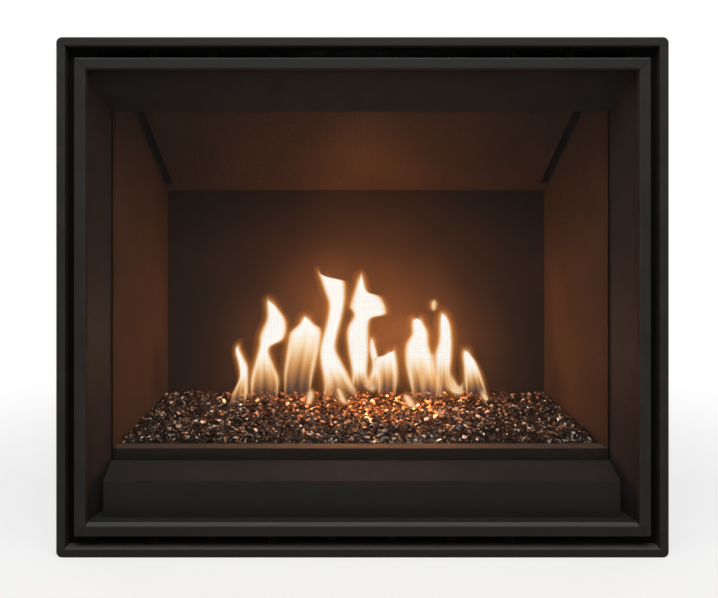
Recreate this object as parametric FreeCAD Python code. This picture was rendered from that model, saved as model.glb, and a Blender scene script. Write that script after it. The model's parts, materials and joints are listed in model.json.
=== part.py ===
import FreeCAD
import Part

import math
import os

# A built-in gas fireplace: a sealed firebox behind glass, in a sheet-metal casing with a
# face rim and a pull-off mesh screen. All sizes are in millimetres.
# X runs to the viewer's right, Y to the back and Z up. The origin is on the floor, under the
# middle of the body. A depth is a distance behind the front of the face rim.

# Face and body
FACE_WIDTH = 965.0
FACE_HEIGHT = 820.0
BODY_DEPTH = 560.0
CASING_INSET = 25.5
CASING_TOP_DROP = 12.0
CASING_HEM = 14.0
BACK_RECESS = 4.0

# Sheet gauges
CASING_SHEET = 1.5
FIREBOX_SHEET = 2.0
TRIM_SHEET = 1.5
SCREEN_SHEET = 1.2
BRACKET_SHEET = 1.5
DUCT_SHEET = 1.2

# Clearances
SEAT_GAP = 0.3
PIN_GAP = 0.05
STUD_GAP = 0.1

# Pressed beads that stiffen the casing
BEAD_WIDTH = 16.0
BEAD_DEPTH = 3.0
BEAD_END_MARGIN = 110.0
SIDE_BEAD_SHARES = (0.375, 0.715)
BACK_BEAD_SHARES = (0.32, 0.67)

# Casing screws
SCREW_RADIUS = 1.8
SCREW_REACH = 6.0
SCREW_HEAD_RADIUS = 4.5
SCREW_HEAD_HEIGHT = 2.4
SCREWS_PER_EDGE = 4
SCREW_END_MARGIN = 55.0

# Face rim
RIM_FACE = 14.0
RIM_DEPTH = 26.0
RIM_CORNER = 9.0
RIM_EDGE = 1.8
RIM_SEAM = 0.6

# Face flange behind the rim
FLANGE_MARGIN = 1.0
SHELF_REACH = 32.0
SHELF_WING_LAP = 6.0
FIXING_HOLE_RADIUS = 2.5
FIXING_HOLE_OUT = 3.4
FIXING_FROM_END = 110.0
AIR_SLOT_COUNT = 9
AIR_SLOT_END_MARGIN = 32.0
AIR_SLOT_HEIGHT = 11.0
AIR_SLOT_BRIDGE = 14.0

# Mesh screen
SCREEN_GAP_SIDE = 13.5
SCREEN_GAP_ENDS = 18.5
SCREEN_INSET = 2.0
SCREEN_FACE = 18.0
SCREEN_DEPTH = 16.0
SCREEN_LIP_CORNER = 4.0
SCREEN_LIP_EDGE = 3.0
SCREEN_OUTER_EDGE = 1.6
MITRE_GAP = 0.7
MESH_OVERLAP = 5.0
MESH_WIRE = 1.5
MESH_THICKNESS = 0.6
MESH_COLUMNS = 18
MESH_ROWS = 16
STUD_RADIUS = 3.0
STUD_EDGE = 5.5
STUD_FROM_END = 150.0
CLIP_WALL = 2.4
CLIP_LENGTH = 16.0
STUD_SHORT_OF_CLIP_END = 3.0

# Splayed reveal between the screen and the glass
REVEAL_BEHIND_LIP = 4.5
REVEAL_FLOOR_DROP = 2.0
REVEAL_DEPTH = 77.5
REVEAL_SPLAY = 19.5
REVEAL_DROP = 58.0

# Lift-off access panel under the glass
PANEL_SETBACK = 17.5
PANEL_HEIGHT = 59.0
PANEL_BACK_CLEAR = 2.0
PANEL_RISE = 17.3
PANEL_BACK_LIP = 12.0
PANEL_END_GAP = 3.0
PANEL_TAB_FROM_END = 139.0
PANEL_TAB_WIDTH = 24.0
PANEL_TAB_LENGTH = 8.0

# Glass front
GLASS_BEHIND_REVEAL = 1.0
GLASS_OVERLAP = 20.0
GLASS_FRAME_SHEET = 1.5
GLASS_FRAME_LIP = 23.0
GLASS_FRAME_WALL = 10.5
GLASS_THICKNESS = 5.0
GLASS_EDGE_GAP = 0.5
GASKET_THICKNESS = 7.5
GASKET_WIDTH = 12.0
GASKET_EDGE_GAP = 1.5

# Firebox
CHAMBER_OUTSIDE_REVEAL = 2.0
CHAMBER_TAPER = 37.0
CHAMBER_FROM_BACK = 100.0
CHAMBER_FLOOR = 91.0
MOUTH_ABOVE_FLOOR = 22.0
MOUTH_ABOVE_REVEAL = 5.5
ROOF_ABOVE_MOUTH = 36.0
MOUTH_RIM = 28.0
APRON_DROP = 16.0
LINER_HEM = 15.0
LINER_HEM_PROUD = 1.5
BAFFLE_FALL = 172.3
BAFFLE_REACH = 255.0
BAFFLE_SLOT = 16.0
BAFFLE_SLOT_STOP = 20.0
AIR_INLET_HALF = 80.0
AIR_INLET_RAISE = 4.0
AIR_INLET_HEIGHT = 22.0
SUPPORT_IN = 47.0
SUPPORT_SETBACK = 68.0
SUPPORT_LENGTH = 210.0
SUPPORT_FOOT = 18.0

# Burner tray and crushed glass
TRAY_HEIGHT = 32.0
TRAY_LIP_HEIGHT = 16.5
TRAY_LIP_DEPTH = 32.0
TRAY_SIDE_GAP = 1.5
TRAY_FRONT_GAP = 2.0
BED_RISE = 27.0
BED_ROUGHNESS = 2.5
BED_WAVES = ((2.3, 1.7), (1.1, -2.9))
BED_COLUMNS = 24
BED_ROWS = 9

# Burner
BURNER_END_GAP = 107.0
BURNER_BEHIND_LIP = 74.0
BURNER_AHEAD_OF_BACK = 70.0
BURNER_RAISE = 4.0
BURNER_SHEET = 1.5
BURNER_GAP = 0.5
BURNER_FOOT = 14.0
PORT_RADIUS = 2.0
PORTS_PER_ROW = 14
PORT_ROW_SHARES = (0.25, 0.56)
VENTURI_RADIUS = 11.0
VENTURI_WALL = 1.5
VENTURI_LENGTH = 70.0
AIR_WINDOW_LENGTH = 14.0
AIR_WINDOW_WIDTH = 8.0
AIR_WINDOW_INSET = 4.0
SHUTTER_WALL = 1.5
SHUTTER_LENGTH = 24.0
SHUTTER_TAB = 12.0
SHUTTER_TAB_THICKNESS = 3.0

# Pilot
PILOT_X = 80.0
PILOT_AHEAD_OF_BURNER = 26.0
PILOT_DEPTH_SIZE = 20.0
PILOT_HALF = 22.0
PILOT_RAISE = 4.0
PILOT_HOOD_RADIUS = 5.0
PILOT_HOOD_HEIGHT = 9.0
PILOT_ROD_OFFSET = 14.0
PILOT_ELECTRODE_RADIUS = 1.5
PILOT_SENSOR_RADIUS = 3.5
PILOT_POCKET = 2.0

# Gas train
GAS_LINE_Z = 34.0
GAS_LINE_BEHIND_CONTROLS = 42.0
PIPE_RADIUS = 6.0
PIPE_WALL = 1.0
PIPE_BEND = 25.0
NUT_RADIUS = 10.0
NUT_LENGTH = 12.0
VALVE_LEFT = 165.0
VALVE_LENGTH = 105.0
VALVE_DEPTH_SIZE = 75.5
VALVE_LOW = 10.0
VALVE_BELOW_APRON = 6.0
VALVE_EDGE = 4.0
VALVE_BOSS_RADIUS = 12.0
VALVE_BOSS_LENGTH = 12.0
SHUTOFF_LENGTH = 54.0
SHUTOFF_END_GAP = 3.5
SHUTOFF_RADIUS = 12.0
INLET_RADIUS = 7.6
INLET_LENGTH = 14.0
STEM_RADIUS = 4.0
STEM_BOSS_RADIUS = 8.0
STEM_BOSS_HEIGHT = 16.0
STEM_DEPTH = 8.0
LEVER_LENGTH = 42.0
LEVER_WIDTH = 12.0
LEVER_THICKNESS = 3.5
GAS_ACCESS_RADIUS = 20.0
ORIFICE_SETBACK = 18.0
FLOOR_FITTING_RADIUS = 12.0
FLOOR_FITTING_HEIGHT = 3.0
ORIFICE_BODY_RADIUS = 8.0
SPUD_RADIUS = 3.0
SPUD_ENTRY = 4.0
PILOT_PIPE_RADIUS = 3.0
PILOT_PIPE_BEND = 12.0
PILOT_PIPE_BEHIND_GAS_LINE = 20.0
PILOT_PIPE_Z = 20.0
FLOOR_HOLE_GAP = 1.0

# Control panel
CONTROL_AHEAD_OF_FIREBOX = 12.0
CONTROL_LEFT = 60.0
CONTROL_BEYOND_VALVE = 15.0
CONTROL_BELOW_APRON = 2.0
CONTROL_FOOT = 22.0
KNOB_SHAFT_RADIUS = 3.0
KNOB_SHAFT_REACH = 12.0
KNOB_SHAFT_HOLE_GAP = 2.0
KNOB_STANDOFF = 2.0
MAIN_KNOB_SHARE = 0.24
MAIN_KNOB_RADIUS = 17.0
MAIN_KNOB_LENGTH = 18.0
FLAME_KNOB_SHARE = 0.72
FLAME_KNOB_RADIUS = 11.0
FLAME_KNOB_LENGTH = 16.0
KNOB_GRIP_WIDTH = 6.0
KNOB_GRIP_HEIGHT = 6.0
KNOB_GRIP_SHARE = 0.9
IGNITER_FROM_LEFT = 50.0
IGNITER_RADIUS = 8.0
IGNITER_LENGTH = 32.0
IGNITER_NUT_RADIUS = 11.0
IGNITER_NUT_LENGTH = 3.0
BUTTON_RADIUS = 5.0
BUTTON_PROUD = 9.0
BUTTON_REACH = 16.0
BUTTON_BORE_SPARE = 9.0

# Glass latches
LATCH_IN = 94.0
LATCH_PIVOT_FORWARD = 8.0
LATCH_ABOVE_APRON = 10.0
LATCH_WIDTH = 12.0
LATCH_SIDE_GAP = 0.5
LATCH_EAR = 2.0
LATCH_EAR_HALF = 7.0
LATCH_PIN_RADIUS = 2.5
LATCH_HUB_RADIUS = 6.0
LATCH_ARM = 6.0
LATCH_HOOK_MARGIN = 2.0
LATCH_HOOK_HEIGHT = 8.0
LATCH_HANDLE = 32.0
LATCH_CURL_RADIUS = 4.8

# Flue, combustion air and relief
FLUE_FROM_BACK = 70.0
EXHAUST_RADIUS = 50.0
INTAKE_RADIUS = 84.0
COLLAR_WALL = 1.0
COLLAR_FLANGE = 9.0
INTAKE_COLLAR_HEIGHT = 42.0
EXHAUST_PROUD = 8.0
DUCT_SIDE_MARGIN = 16.0
DUCT_FRONT_MARGIN = 8.0
DUCT_BEHIND_FIREBOX = 36.0
RELIEF_HALF = 160.0
RELIEF_SETBACK = 8.0
RELIEF_LENGTH = 60.0
RELIEF_LAP = 9.0
RELIEF_KNUCKLE_RADIUS = 4.0
RELIEF_PIN_RADIUS = 2.0
RELIEF_EAR = 6.0
RELIEF_EAR_GAP = 1.0
RESTRICTOR_LENGTH = 110.0
RESTRICTOR_CLEAR_OF_FLUE = 12.0
RESTRICTOR_THICKNESS = 2.0
RESTRICTOR_BELOW_ROOF = 4.0
RESTRICTOR_OVERLAP = 5.0
RAIL_WALL = 3.0
RAIL_LIP = 5.0
RAIL_SPARE = 8.0
STANDOFF_IN = 157.0
STANDOFF_FOOT = 20.0
STANDOFF_HEAD = 30.0
STANDOFF_HEIGHT = 44.0
STANDOFF_FRONT = 240.0
STANDOFF_LENGTH = 180.0

# Junction box
BOX_LENGTH = 80.0
BOX_HEIGHT = 60.0
BOX_REACH = 55.0
BOX_LOW = 16.0
BOX_FROM_BACK = 100.0
KNOCKOUT_RADIUS = 11.0

# Blower
BLOWER_FROM_BACK = 90.0
BLOWER_BELOW_FLOOR = 40.0
SCROLL_X = 160.0
SCROLL_WIDTH = 64.0
SCROLL_RADIUS = 36.0
SCROLL_SHEET = 1.5
SCROLL_INLET_RADIUS = 24.0
SCROLL_MOUTH = 38.0
SCROLL_FOOT = 22.0
WHEEL_RADIUS = 31.0
WHEEL_WIDTH = 52.0
WHEEL_RING = 5.0
WHEEL_BLADES = 16
BLADE_THICKNESS = 1.5
WHEEL_DISC = 2.5
SHAFT_RADIUS = 4.0
SHAFT_END_SPARE = 4.0
MOTOR_RADIUS = 26.0
MOTOR_HALF = 45.0
MOTOR_FOOT_HALF = 30.0

# Places across the part that follow from the sizes above
X_AXIS = FreeCAD.Vector(1, 0, 0)
Y_AXIS = FreeCAD.Vector(0, 1, 0)
Z_AXIS = FreeCAD.Vector(0, 0, 1)
FACE_HALF = FACE_WIDTH / 2.0
CASING_HALF = FACE_HALF - CASING_INSET
CASING_INSIDE = CASING_HALF - CASING_SHEET
STANDOFF_X = CASING_HALF - STANDOFF_IN
SCREEN_HALF = FACE_HALF - RIM_FACE - SCREEN_GAP_SIDE
STUD_X = SCREEN_HALF - STUD_EDGE
REVEAL_HALF = SCREEN_HALF - SCREEN_FACE + REVEAL_BEHIND_LIP
REVEAL_HALF_BACK = REVEAL_HALF - REVEAL_SPLAY
PANEL_HALF = REVEAL_HALF_BACK - PANEL_END_GAP
PANEL_TAB_X = PANEL_HALF - PANEL_TAB_FROM_END
CHAMBER_HALF_FRONT = REVEAL_HALF_BACK + CHAMBER_OUTSIDE_REVEAL
CHAMBER_HALF_BACK = CHAMBER_HALF_FRONT - CHAMBER_TAPER
SUPPORT_X = CHAMBER_HALF_BACK - SUPPORT_IN
LATCH_X = CHAMBER_HALF_FRONT - LATCH_IN
BURNER_HALF = CHAMBER_HALF_BACK - BURNER_END_GAP
VENTURI_END = -BURNER_HALF - VENTURI_LENGTH
ORIFICE_X = VENTURI_END - ORIFICE_SETBACK
VALVE_RIGHT = VALVE_LEFT + VALVE_LENGTH
CONTROL_RIGHT = VALVE_RIGHT + CONTROL_BEYOND_VALVE
MAIN_KNOB_X = VALVE_LEFT + MAIN_KNOB_SHARE * VALVE_LENGTH
FLAME_KNOB_X = VALVE_LEFT + FLAME_KNOB_SHARE * VALVE_LENGTH
IGNITER_X = CONTROL_LEFT + IGNITER_FROM_LEFT
SHUTOFF_RIGHT = CASING_INSIDE - SHUTOFF_END_GAP
SHUTOFF_LEFT = SHUTOFF_RIGHT - SHUTOFF_LENGTH
STEM_X = (SHUTOFF_LEFT + SHUTOFF_RIGHT) / 2.0
DUCT_HALF = INTAKE_RADIUS + DUCT_SIDE_MARGIN
RESTRICTOR_HALF = EXHAUST_RADIUS + RESTRICTOR_OVERLAP
RESTRICTOR_REST_X = EXHAUST_RADIUS + RESTRICTOR_CLEAR_OF_FLUE
RAIL_LEFT = -RESTRICTOR_REST_X
RAIL_RIGHT = RESTRICTOR_REST_X + RESTRICTOR_LENGTH + RAIL_SPARE

# Depths that follow
BACK_OUTSIDE = BODY_DEPTH - BACK_RECESS
BACK_INSIDE = BACK_OUTSIDE - CASING_SHEET
FLANGE_BACK = RIM_DEPTH + CASING_SHEET
SCREEN_BACK = SCREEN_INSET + SCREEN_DEPTH
STUD_TIP = FLANGE_BACK + CLIP_LENGTH - STUD_SHORT_OF_CLIP_END
REVEAL_BACK = FLANGE_BACK + REVEAL_DEPTH
SHELF_BACK = FLANGE_BACK + SHELF_REACH
PANEL_FRONT = FLANGE_BACK + PANEL_SETBACK
PANEL_BACK = REVEAL_BACK - PANEL_BACK_CLEAR
GLASS_FRONT = REVEAL_BACK + GLASS_BEHIND_REVEAL
GLASS_FACE = GLASS_FRONT + GLASS_FRAME_SHEET
GLASS_REAR = GLASS_FACE + GLASS_THICKNESS
FIREBOX_FRONT = GLASS_REAR + GASKET_THICKNESS
CHAMBER_FRONT = FIREBOX_FRONT + FIREBOX_SHEET
CHAMBER_BACK = BODY_DEPTH - CHAMBER_FROM_BACK
LINER_BACK = CHAMBER_BACK + FIREBOX_SHEET
FIREBOX_BACK = LINER_BACK + FIREBOX_SHEET
BAFFLE_HEAD_DEPTH = CHAMBER_BACK - BAFFLE_REACH
SUPPORT_FRONT = CHAMBER_FRONT + SUPPORT_SETBACK
TRAY_FRONT = CHAMBER_FRONT + TRAY_FRONT_GAP
TRAY_LIP_BACK = TRAY_FRONT + TRAY_LIP_DEPTH
BURNER_FRONT = TRAY_LIP_BACK + BURNER_BEHIND_LIP
BURNER_BACK = CHAMBER_BACK - BURNER_AHEAD_OF_BACK
BURNER_DEPTH = BURNER_BACK - BURNER_FRONT
VENTURI_DEPTH = BURNER_FRONT + BURNER_DEPTH / 2.0
PILOT_FRONT = BURNER_FRONT - PILOT_AHEAD_OF_BURNER
CONTROL_FRONT = FIREBOX_FRONT - CONTROL_AHEAD_OF_FIREBOX
CONTROL_BACK = CONTROL_FRONT + BRACKET_SHEET
VALVE_BACK = CONTROL_BACK + VALVE_DEPTH_SIZE
GAS_LINE_DEPTH = CONTROL_FRONT + GAS_LINE_BEHIND_CONTROLS
PILOT_PIPE_DEPTH = GAS_LINE_DEPTH + PILOT_PIPE_BEHIND_GAS_LINE
LATCH_PIVOT_DEPTH = GLASS_FRONT - LATCH_PIVOT_FORWARD
FLUE_DEPTH = CHAMBER_BACK - FLUE_FROM_BACK
DUCT_FRONT = FLUE_DEPTH - INTAKE_RADIUS - DUCT_FRONT_MARGIN
DUCT_BACK = FIREBOX_BACK + DUCT_BEHIND_FIREBOX
RELIEF_FRONT = CHAMBER_FRONT + RELIEF_SETBACK
RELIEF_BACK = RELIEF_FRONT + RELIEF_LENGTH
RELIEF_HINGE_DEPTH = RELIEF_BACK + RELIEF_KNUCKLE_RADIUS
BOX_CENTRE_DEPTH = BODY_DEPTH - BOX_FROM_BACK
BLOWER_DEPTH = BODY_DEPTH - BLOWER_FROM_BACK

# Heights that follow
CASING_TOP = FACE_HEIGHT - CASING_TOP_DROP
FIXING_HEIGHTS = (FIXING_FROM_END, FACE_HEIGHT - FIXING_FROM_END)
STUD_HEIGHTS = (STUD_FROM_END, FACE_HEIGHT - STUD_FROM_END)
SCREEN_LOW = RIM_FACE + SCREEN_GAP_ENDS
SCREEN_HIGH = FACE_HEIGHT - RIM_FACE - SCREEN_GAP_ENDS
REVEAL_TOP = SCREEN_HIGH - SCREEN_FACE
REVEAL_TOP_BACK = REVEAL_TOP - REVEAL_DROP
REVEAL_FLOOR = SCREEN_LOW + SCREEN_FACE - REVEAL_FLOOR_DROP
PANEL_FRONT_TOP = REVEAL_FLOOR + PANEL_HEIGHT
FLOOR_UNDERSIDE = CHAMBER_FLOOR - FIREBOX_SHEET
MOUTH_LOW = CHAMBER_FLOOR + MOUTH_ABOVE_FLOOR
MOUTH_HIGH = REVEAL_TOP_BACK + MOUTH_ABOVE_REVEAL
CHAMBER_ROOF = MOUTH_HIGH + ROOF_ABOVE_MOUTH
ROOF_TOP = CHAMBER_ROOF + FIREBOX_SHEET
APRON_LOW = CHAMBER_FLOOR - APRON_DROP
LINER_TOP = CHAMBER_ROOF - BAFFLE_FALL
AIR_INLET_LOW = CHAMBER_FLOOR + AIR_INLET_RAISE
AIR_INLET_HIGH = AIR_INLET_LOW + AIR_INLET_HEIGHT
TRAY_TOP = CHAMBER_FLOOR + TRAY_HEIGHT
TRAY_LIP_TOP = TRAY_TOP + TRAY_LIP_HEIGHT
BED_BACK_TOP = TRAY_LIP_TOP + BED_RISE
BURNER_BASE = CHAMBER_FLOOR + BURNER_RAISE
VENTURI_Z = (CHAMBER_FLOOR + TRAY_TOP) / 2.0
PILOT_SHELF = TRAY_TOP + PILOT_RAISE
PILOT_HOOD_TOP = PILOT_SHELF + PILOT_HOOD_HEIGHT
VALVE_HIGH = APRON_LOW - VALVE_BELOW_APRON
CONTROL_TOP = APRON_LOW - CONTROL_BELOW_APRON
CONTROL_Z = (VALVE_LOW + VALVE_HIGH) / 2.0
STEM_BOSS_TOP = GAS_LINE_Z + STEM_BOSS_HEIGHT
LATCH_PIVOT_Z = APRON_LOW + LATCH_ABOVE_APRON
LATCH_HOOK_LOW = MOUTH_LOW - GLASS_OVERLAP + LATCH_HOOK_MARGIN
LATCH_HOOK_HIGH = LATCH_HOOK_LOW + LATCH_HOOK_HEIGHT
INTAKE_COLLAR_TOP = CASING_TOP + INTAKE_COLLAR_HEIGHT
EXHAUST_COLLAR_TOP = INTAKE_COLLAR_TOP + EXHAUST_PROUD
RELIEF_HINGE_Z = ROOF_TOP + SEAT_GAP + RELIEF_KNUCKLE_RADIUS
BOX_CENTRE_Z = BOX_LOW + BOX_HEIGHT / 2.0
BLOWER_Z = FLOOR_UNDERSIDE - BLOWER_BELOW_FLOOR


def at(x, depth, z):
    """The model point at a distance behind the front of the rim."""
    return FreeCAD.Vector(x, depth - BODY_DEPTH / 2.0, z)


def block(x0, x1, depth0, depth1, z0, z1):
    return Part.makeBox(x1 - x0, depth1 - depth0, z1 - z0, at(x0, depth0, z0))


def extruded(corners, direction):
    return Part.Face(Part.makePolygon(corners + corners[:1])).extrude(direction)


def prism_x(profile, x0, x1):
    """A profile of (depth, height) corners run from x0 to x1."""
    return extruded([at(x0, d, z) for d, z in profile], X_AXIS * (x1 - x0))


def prism_y(profile, depth0, depth1):
    """A profile of (x, height) corners run from one depth to another."""
    return extruded([at(x, depth0, z) for x, z in profile], Y_AXIS * (depth1 - depth0))


def prism_z(profile, z0, z1):
    """A plan of (x, depth) corners run from one height to another."""
    return extruded([at(x, d, z0) for x, d in profile], Z_AXIS * (z1 - z0))


def rod(start, axis, radius, length):
    return Part.makeCylinder(radius, length, start, axis)


def hollow_rod(start, axis, radius, wall, length):
    return rod(start, axis, radius, length).cut(rod(start, axis, radius - wall, length))


def hexagon(start, axis, radius, length):
    turn = [math.radians(60.0 * side) for side in range(6)]
    corners = [FreeCAD.Vector(radius * math.cos(a), radius * math.sin(a), 0) for a in turn]
    shape = extruded(corners, Z_AXIS * length)
    shape.Placement = FreeCAD.Placement(start, FreeCAD.Rotation(Z_AXIS, axis))
    return shape


def mirrored(shape):
    return shape.mirror(FreeCAD.Vector(0, 0, 0), X_AXIS)


def joined(shapes):
    return shapes[0].multiFuse(shapes[1:]).removeSplitter()


def group(shapes):
    return Part.makeCompound(shapes)


def bent(path, sheet):
    """The outline of a sheet that follows path, with its thickness to the left of travel."""
    normals = []
    for (a0, b0), (a1, b1) in zip(path, path[1:]):
        length = math.hypot(a1 - a0, b1 - b0)
        normals.append(((b0 - b1) / length, (a1 - a0) / length))
    offsets = []
    for index, (a, b) in enumerate(path):
        before = normals[max(index - 1, 0)]
        after = normals[min(index, len(normals) - 1)]
        share = sheet / (1.0 + before[0] * after[0] + before[1] * after[1])
        offsets.append((a + share * (before[0] + after[0]), b + share * (before[1] + after[1])))
    return path + offsets[::-1]


def polyhedron(faces):
    """A closed solid from flat faces, each a loop of points."""
    shell = Part.makeShell([Part.Face(Part.makePolygon(loop + loop[:1])) for loop in faces])
    shell.sewShape()
    solid = Part.makeSolid(shell)
    if solid.Volume < 0:
        solid.reverse()
    return solid


def hexahedron(front, back):
    """A solid between two loops of four points."""
    sides = [[front[i], front[(i + 1) % 4], back[(i + 1) % 4], back[i]] for i in range(4)]
    return polyhedron([front, back[::-1]] + sides)


def bent_pipe(points, radius, bend):
    """A round pipe along straight runs that are joined by arcs of one bend radius."""
    edges = []
    start = points[0]
    for before, corner, after in zip(points, points[1:], points[2:]):
        way_in = (corner - before).normalize()
        way_out = (after - corner).normalize()
        half_turn = way_in.getAngle(way_out) / 2.0
        reach = bend * math.tan(half_turn)
        arc_start = corner - way_in * reach
        arc_end = corner + way_out * reach
        inward = (way_out - way_in).normalize()
        arc_middle = corner + inward * (bend / math.cos(half_turn) - bend)
        edges.append(Part.LineSegment(start, arc_start).toShape())
        edges.append(Part.Arc(arc_start, arc_middle, arc_end).toShape())
        start = arc_end
    edges.append(Part.LineSegment(start, points[-1]).toShape())
    circle = Part.Wire(Part.makeCircle(radius, points[0], points[1] - points[0]))
    return Part.Wire(edges).makePipeShell([circle], True, False)


def along_y(shape):
    """The edges that run from front to back."""
    return [e for e in shape.Edges if e.BoundBox.XLength < 1e-6 and e.BoundBox.ZLength < 1e-6]


def front_edges(shape, within):
    """The edges of the front face that lie inside a bounding box."""
    y = shape.BoundBox.YMin
    flat = [e for e in shape.Edges if e.BoundBox.YMax - y < 1e-6]
    return [e for e in flat if within.isInside(e.BoundBox)]


def rounded_block(half, depth0, depth1, z0, z1, corner):
    shape = block(-half, half, depth0, depth1, z0, z1)
    if corner > 0:
        shape = shape.makeFillet(corner, along_y(shape))
    return shape


def ring(half, z0, z1, face, depth0, depth1, corners, edges):
    """A rectangular ring; corners and edges hold the outer and the inner radius."""
    outer = rounded_block(half, depth0, depth1, z0, z1, corners[0])
    if edges[0] > 0:
        outer = outer.makeFillet(edges[0], front_edges(outer, outer.BoundBox))
    window = rounded_block(half - face, depth0, depth1, z0 + face, z1 - face, corners[1])
    shape = outer.cut(window)
    if edges[1] > 0:
        within = window.BoundBox
        within.enlarge(edges[1] / 10.0)
        shape = shape.makeFillet(edges[1], front_edges(shape, within))
    return shape


def channel_ring(half, z0, z1, face, depth0, depth1, sheet, corners, edges):
    """A ring of formed sheet, open at the back."""
    shape = ring(half, z0, z1, face, depth0, depth1, corners, edges)
    inner_corners = (max(corners[0] - sheet, 0.0), corners[1] + sheet if corners[1] > 0 else 0.0)
    inner_edges = tuple(max(edge - sheet, 0.0) for edge in edges)
    cavity = ring(half - sheet, z0 + sheet, z1 - sheet, face - 2.0 * sheet,
                  depth0 + sheet, depth1, inner_corners, inner_edges)
    return shape.cut(cavity)


def chamber_half(depth):
    """Half the width between the side liners at a depth."""
    share = (depth - CHAMBER_FRONT) / (CHAMBER_BACK - CHAMBER_FRONT)
    return CHAMBER_HALF_FRONT + share * (CHAMBER_HALF_BACK - CHAMBER_HALF_FRONT)


def chamber_plan(depth0, depth1, outward):
    """The tapered plan of the firebox between two depths, widened by outward on each side."""
    near = chamber_half(depth0) + outward
    far = chamber_half(depth1) + outward
    return [(-near, depth0), (near, depth0), (far, depth1), (-far, depth1)]


def baffle_height(depth):
    """Height of the baffle's lower face at a depth."""
    slope = (CHAMBER_ROOF - LINER_TOP) / (CHAMBER_BACK - BAFFLE_HEAD_DEPTH)
    return LINER_TOP + slope * (CHAMBER_BACK - depth)


# Casing

def spread(low, high, count):
    return [low + (high - low) * i / (count - 1) for i in range(count)]


def screw(start, inward):
    head = hexagon(start, inward * -1.0, SCREW_HEAD_RADIUS, SCREW_HEAD_HEIGHT)
    return joined([head, rod(start, inward, SCREW_RADIUS, SCREW_REACH)])


def casing_screws():
    depths = spread(FLANGE_BACK + SCREW_END_MARGIN, BACK_INSIDE - SCREW_END_MARGIN, SCREWS_PER_EDGE)
    reach = CASING_INSIDE - SCREW_END_MARGIN
    across = spread(-reach, reach, SCREWS_PER_EDGE)
    screws = []
    for z in (CASING_HEM / 2.0, CASING_TOP - CASING_HEM / 2.0):
        for depth in depths:
            screws.append(screw(at(CASING_HALF, depth, z), X_AXIS * -1.0))
            screws.append(screw(at(-CASING_HALF, depth, z), X_AXIS))
        for x in across:
            screws.append(screw(at(x, BACK_OUTSIDE, z), Y_AXIS * -1.0))
    return group(screws)


def casing_tray(z_plate, z_hem_end):
    """A flat panel with a hem along both sides and the back."""
    low, high = sorted((z_plate, z_hem_end))
    plate_low = low if z_plate == low else high - CASING_SHEET
    plate_high = plate_low + CASING_SHEET
    plate = block(-CASING_INSIDE, CASING_INSIDE, FLANGE_BACK, BACK_INSIDE, plate_low, plate_high)
    side = block(CASING_INSIDE - CASING_SHEET, CASING_INSIDE, FLANGE_BACK, BACK_INSIDE, low, high)
    back = block(-CASING_INSIDE, CASING_INSIDE, BACK_INSIDE - CASING_SHEET, BACK_INSIDE, low, high)
    return joined([plate, side, mirrored(side), back])


def casing_base(screws):
    return casing_tray(0.0, CASING_HEM).cut(screws)


def casing_top(screws):
    panel = casing_tray(CASING_TOP, CASING_TOP - CASING_HEM)
    vent = rod(at(0, FLUE_DEPTH, CASING_TOP - CASING_HEM), Z_AXIS, INTAKE_RADIUS - COLLAR_WALL, CASING_HEM)
    return panel.cut(vent).cut(screws)


def beaded_side():
    """The right side panel with its pressed beads, before any holes."""
    panel = block(CASING_INSIDE, CASING_HALF, FLANGE_BACK, BODY_DEPTH, 0, CASING_TOP)
    low, high = BEAD_END_MARGIN, CASING_TOP - BEAD_END_MARGIN
    half = BEAD_WIDTH / 2.0
    for share in SIDE_BEAD_SHARES:
        depth = BODY_DEPTH * share
        bulge = block(CASING_INSIDE - BEAD_DEPTH, CASING_INSIDE, depth - half, depth + half, low, high)
        groove = block(CASING_HALF - BEAD_DEPTH, CASING_HALF, depth - half + CASING_SHEET,
                       depth + half - CASING_SHEET, low + CASING_SHEET, high - CASING_SHEET)
        panel = panel.fuse(bulge).cut(groove)
    return panel.removeSplitter()


def casing_right_side(screws):
    access = rod(at(CASING_INSIDE, GAS_LINE_DEPTH, GAS_LINE_Z), X_AXIS, GAS_ACCESS_RADIUS, CASING_SHEET)
    return beaded_side().cut(access).cut(screws)


def casing_left_side(screws):
    start = at(-CASING_HALF, BOX_CENTRE_DEPTH, BOX_CENTRE_Z)
    return mirrored(beaded_side()).cut(rod(start, X_AXIS, KNOCKOUT_RADIUS, CASING_SHEET)).cut(screws)


def casing_back(screws):
    panel = block(-CASING_INSIDE, CASING_INSIDE, BACK_INSIDE, BACK_OUTSIDE, 0, CASING_TOP)
    reach = CASING_INSIDE - BEAD_END_MARGIN
    half = BEAD_WIDTH / 2.0
    for share in BACK_BEAD_SHARES:
        z = CASING_TOP * share
        bulge = block(-reach, reach, BACK_INSIDE - BEAD_DEPTH, BACK_INSIDE, z - half, z + half)
        groove = block(CASING_SHEET - reach, reach - CASING_SHEET, BACK_OUTSIDE - BEAD_DEPTH, BACK_OUTSIDE,
                       z - half + CASING_SHEET, z + half - CASING_SHEET)
        panel = panel.fuse(bulge).cut(groove)
    return panel.removeSplitter().cut(screws)


def header_standoffs():
    profile = bent([(STANDOFF_X - STANDOFF_FOOT, CASING_TOP), (STANDOFF_X, CASING_TOP),
                    (STANDOFF_X, CASING_TOP + STANDOFF_HEIGHT),
                    (STANDOFF_X + STANDOFF_HEAD, CASING_TOP + STANDOFF_HEIGHT)], BRACKET_SHEET)
    right = prism_y(profile, STANDOFF_FRONT, STANDOFF_FRONT + STANDOFF_LENGTH)
    return group([right, mirrored(right)])


# Face rim and face flange

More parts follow.
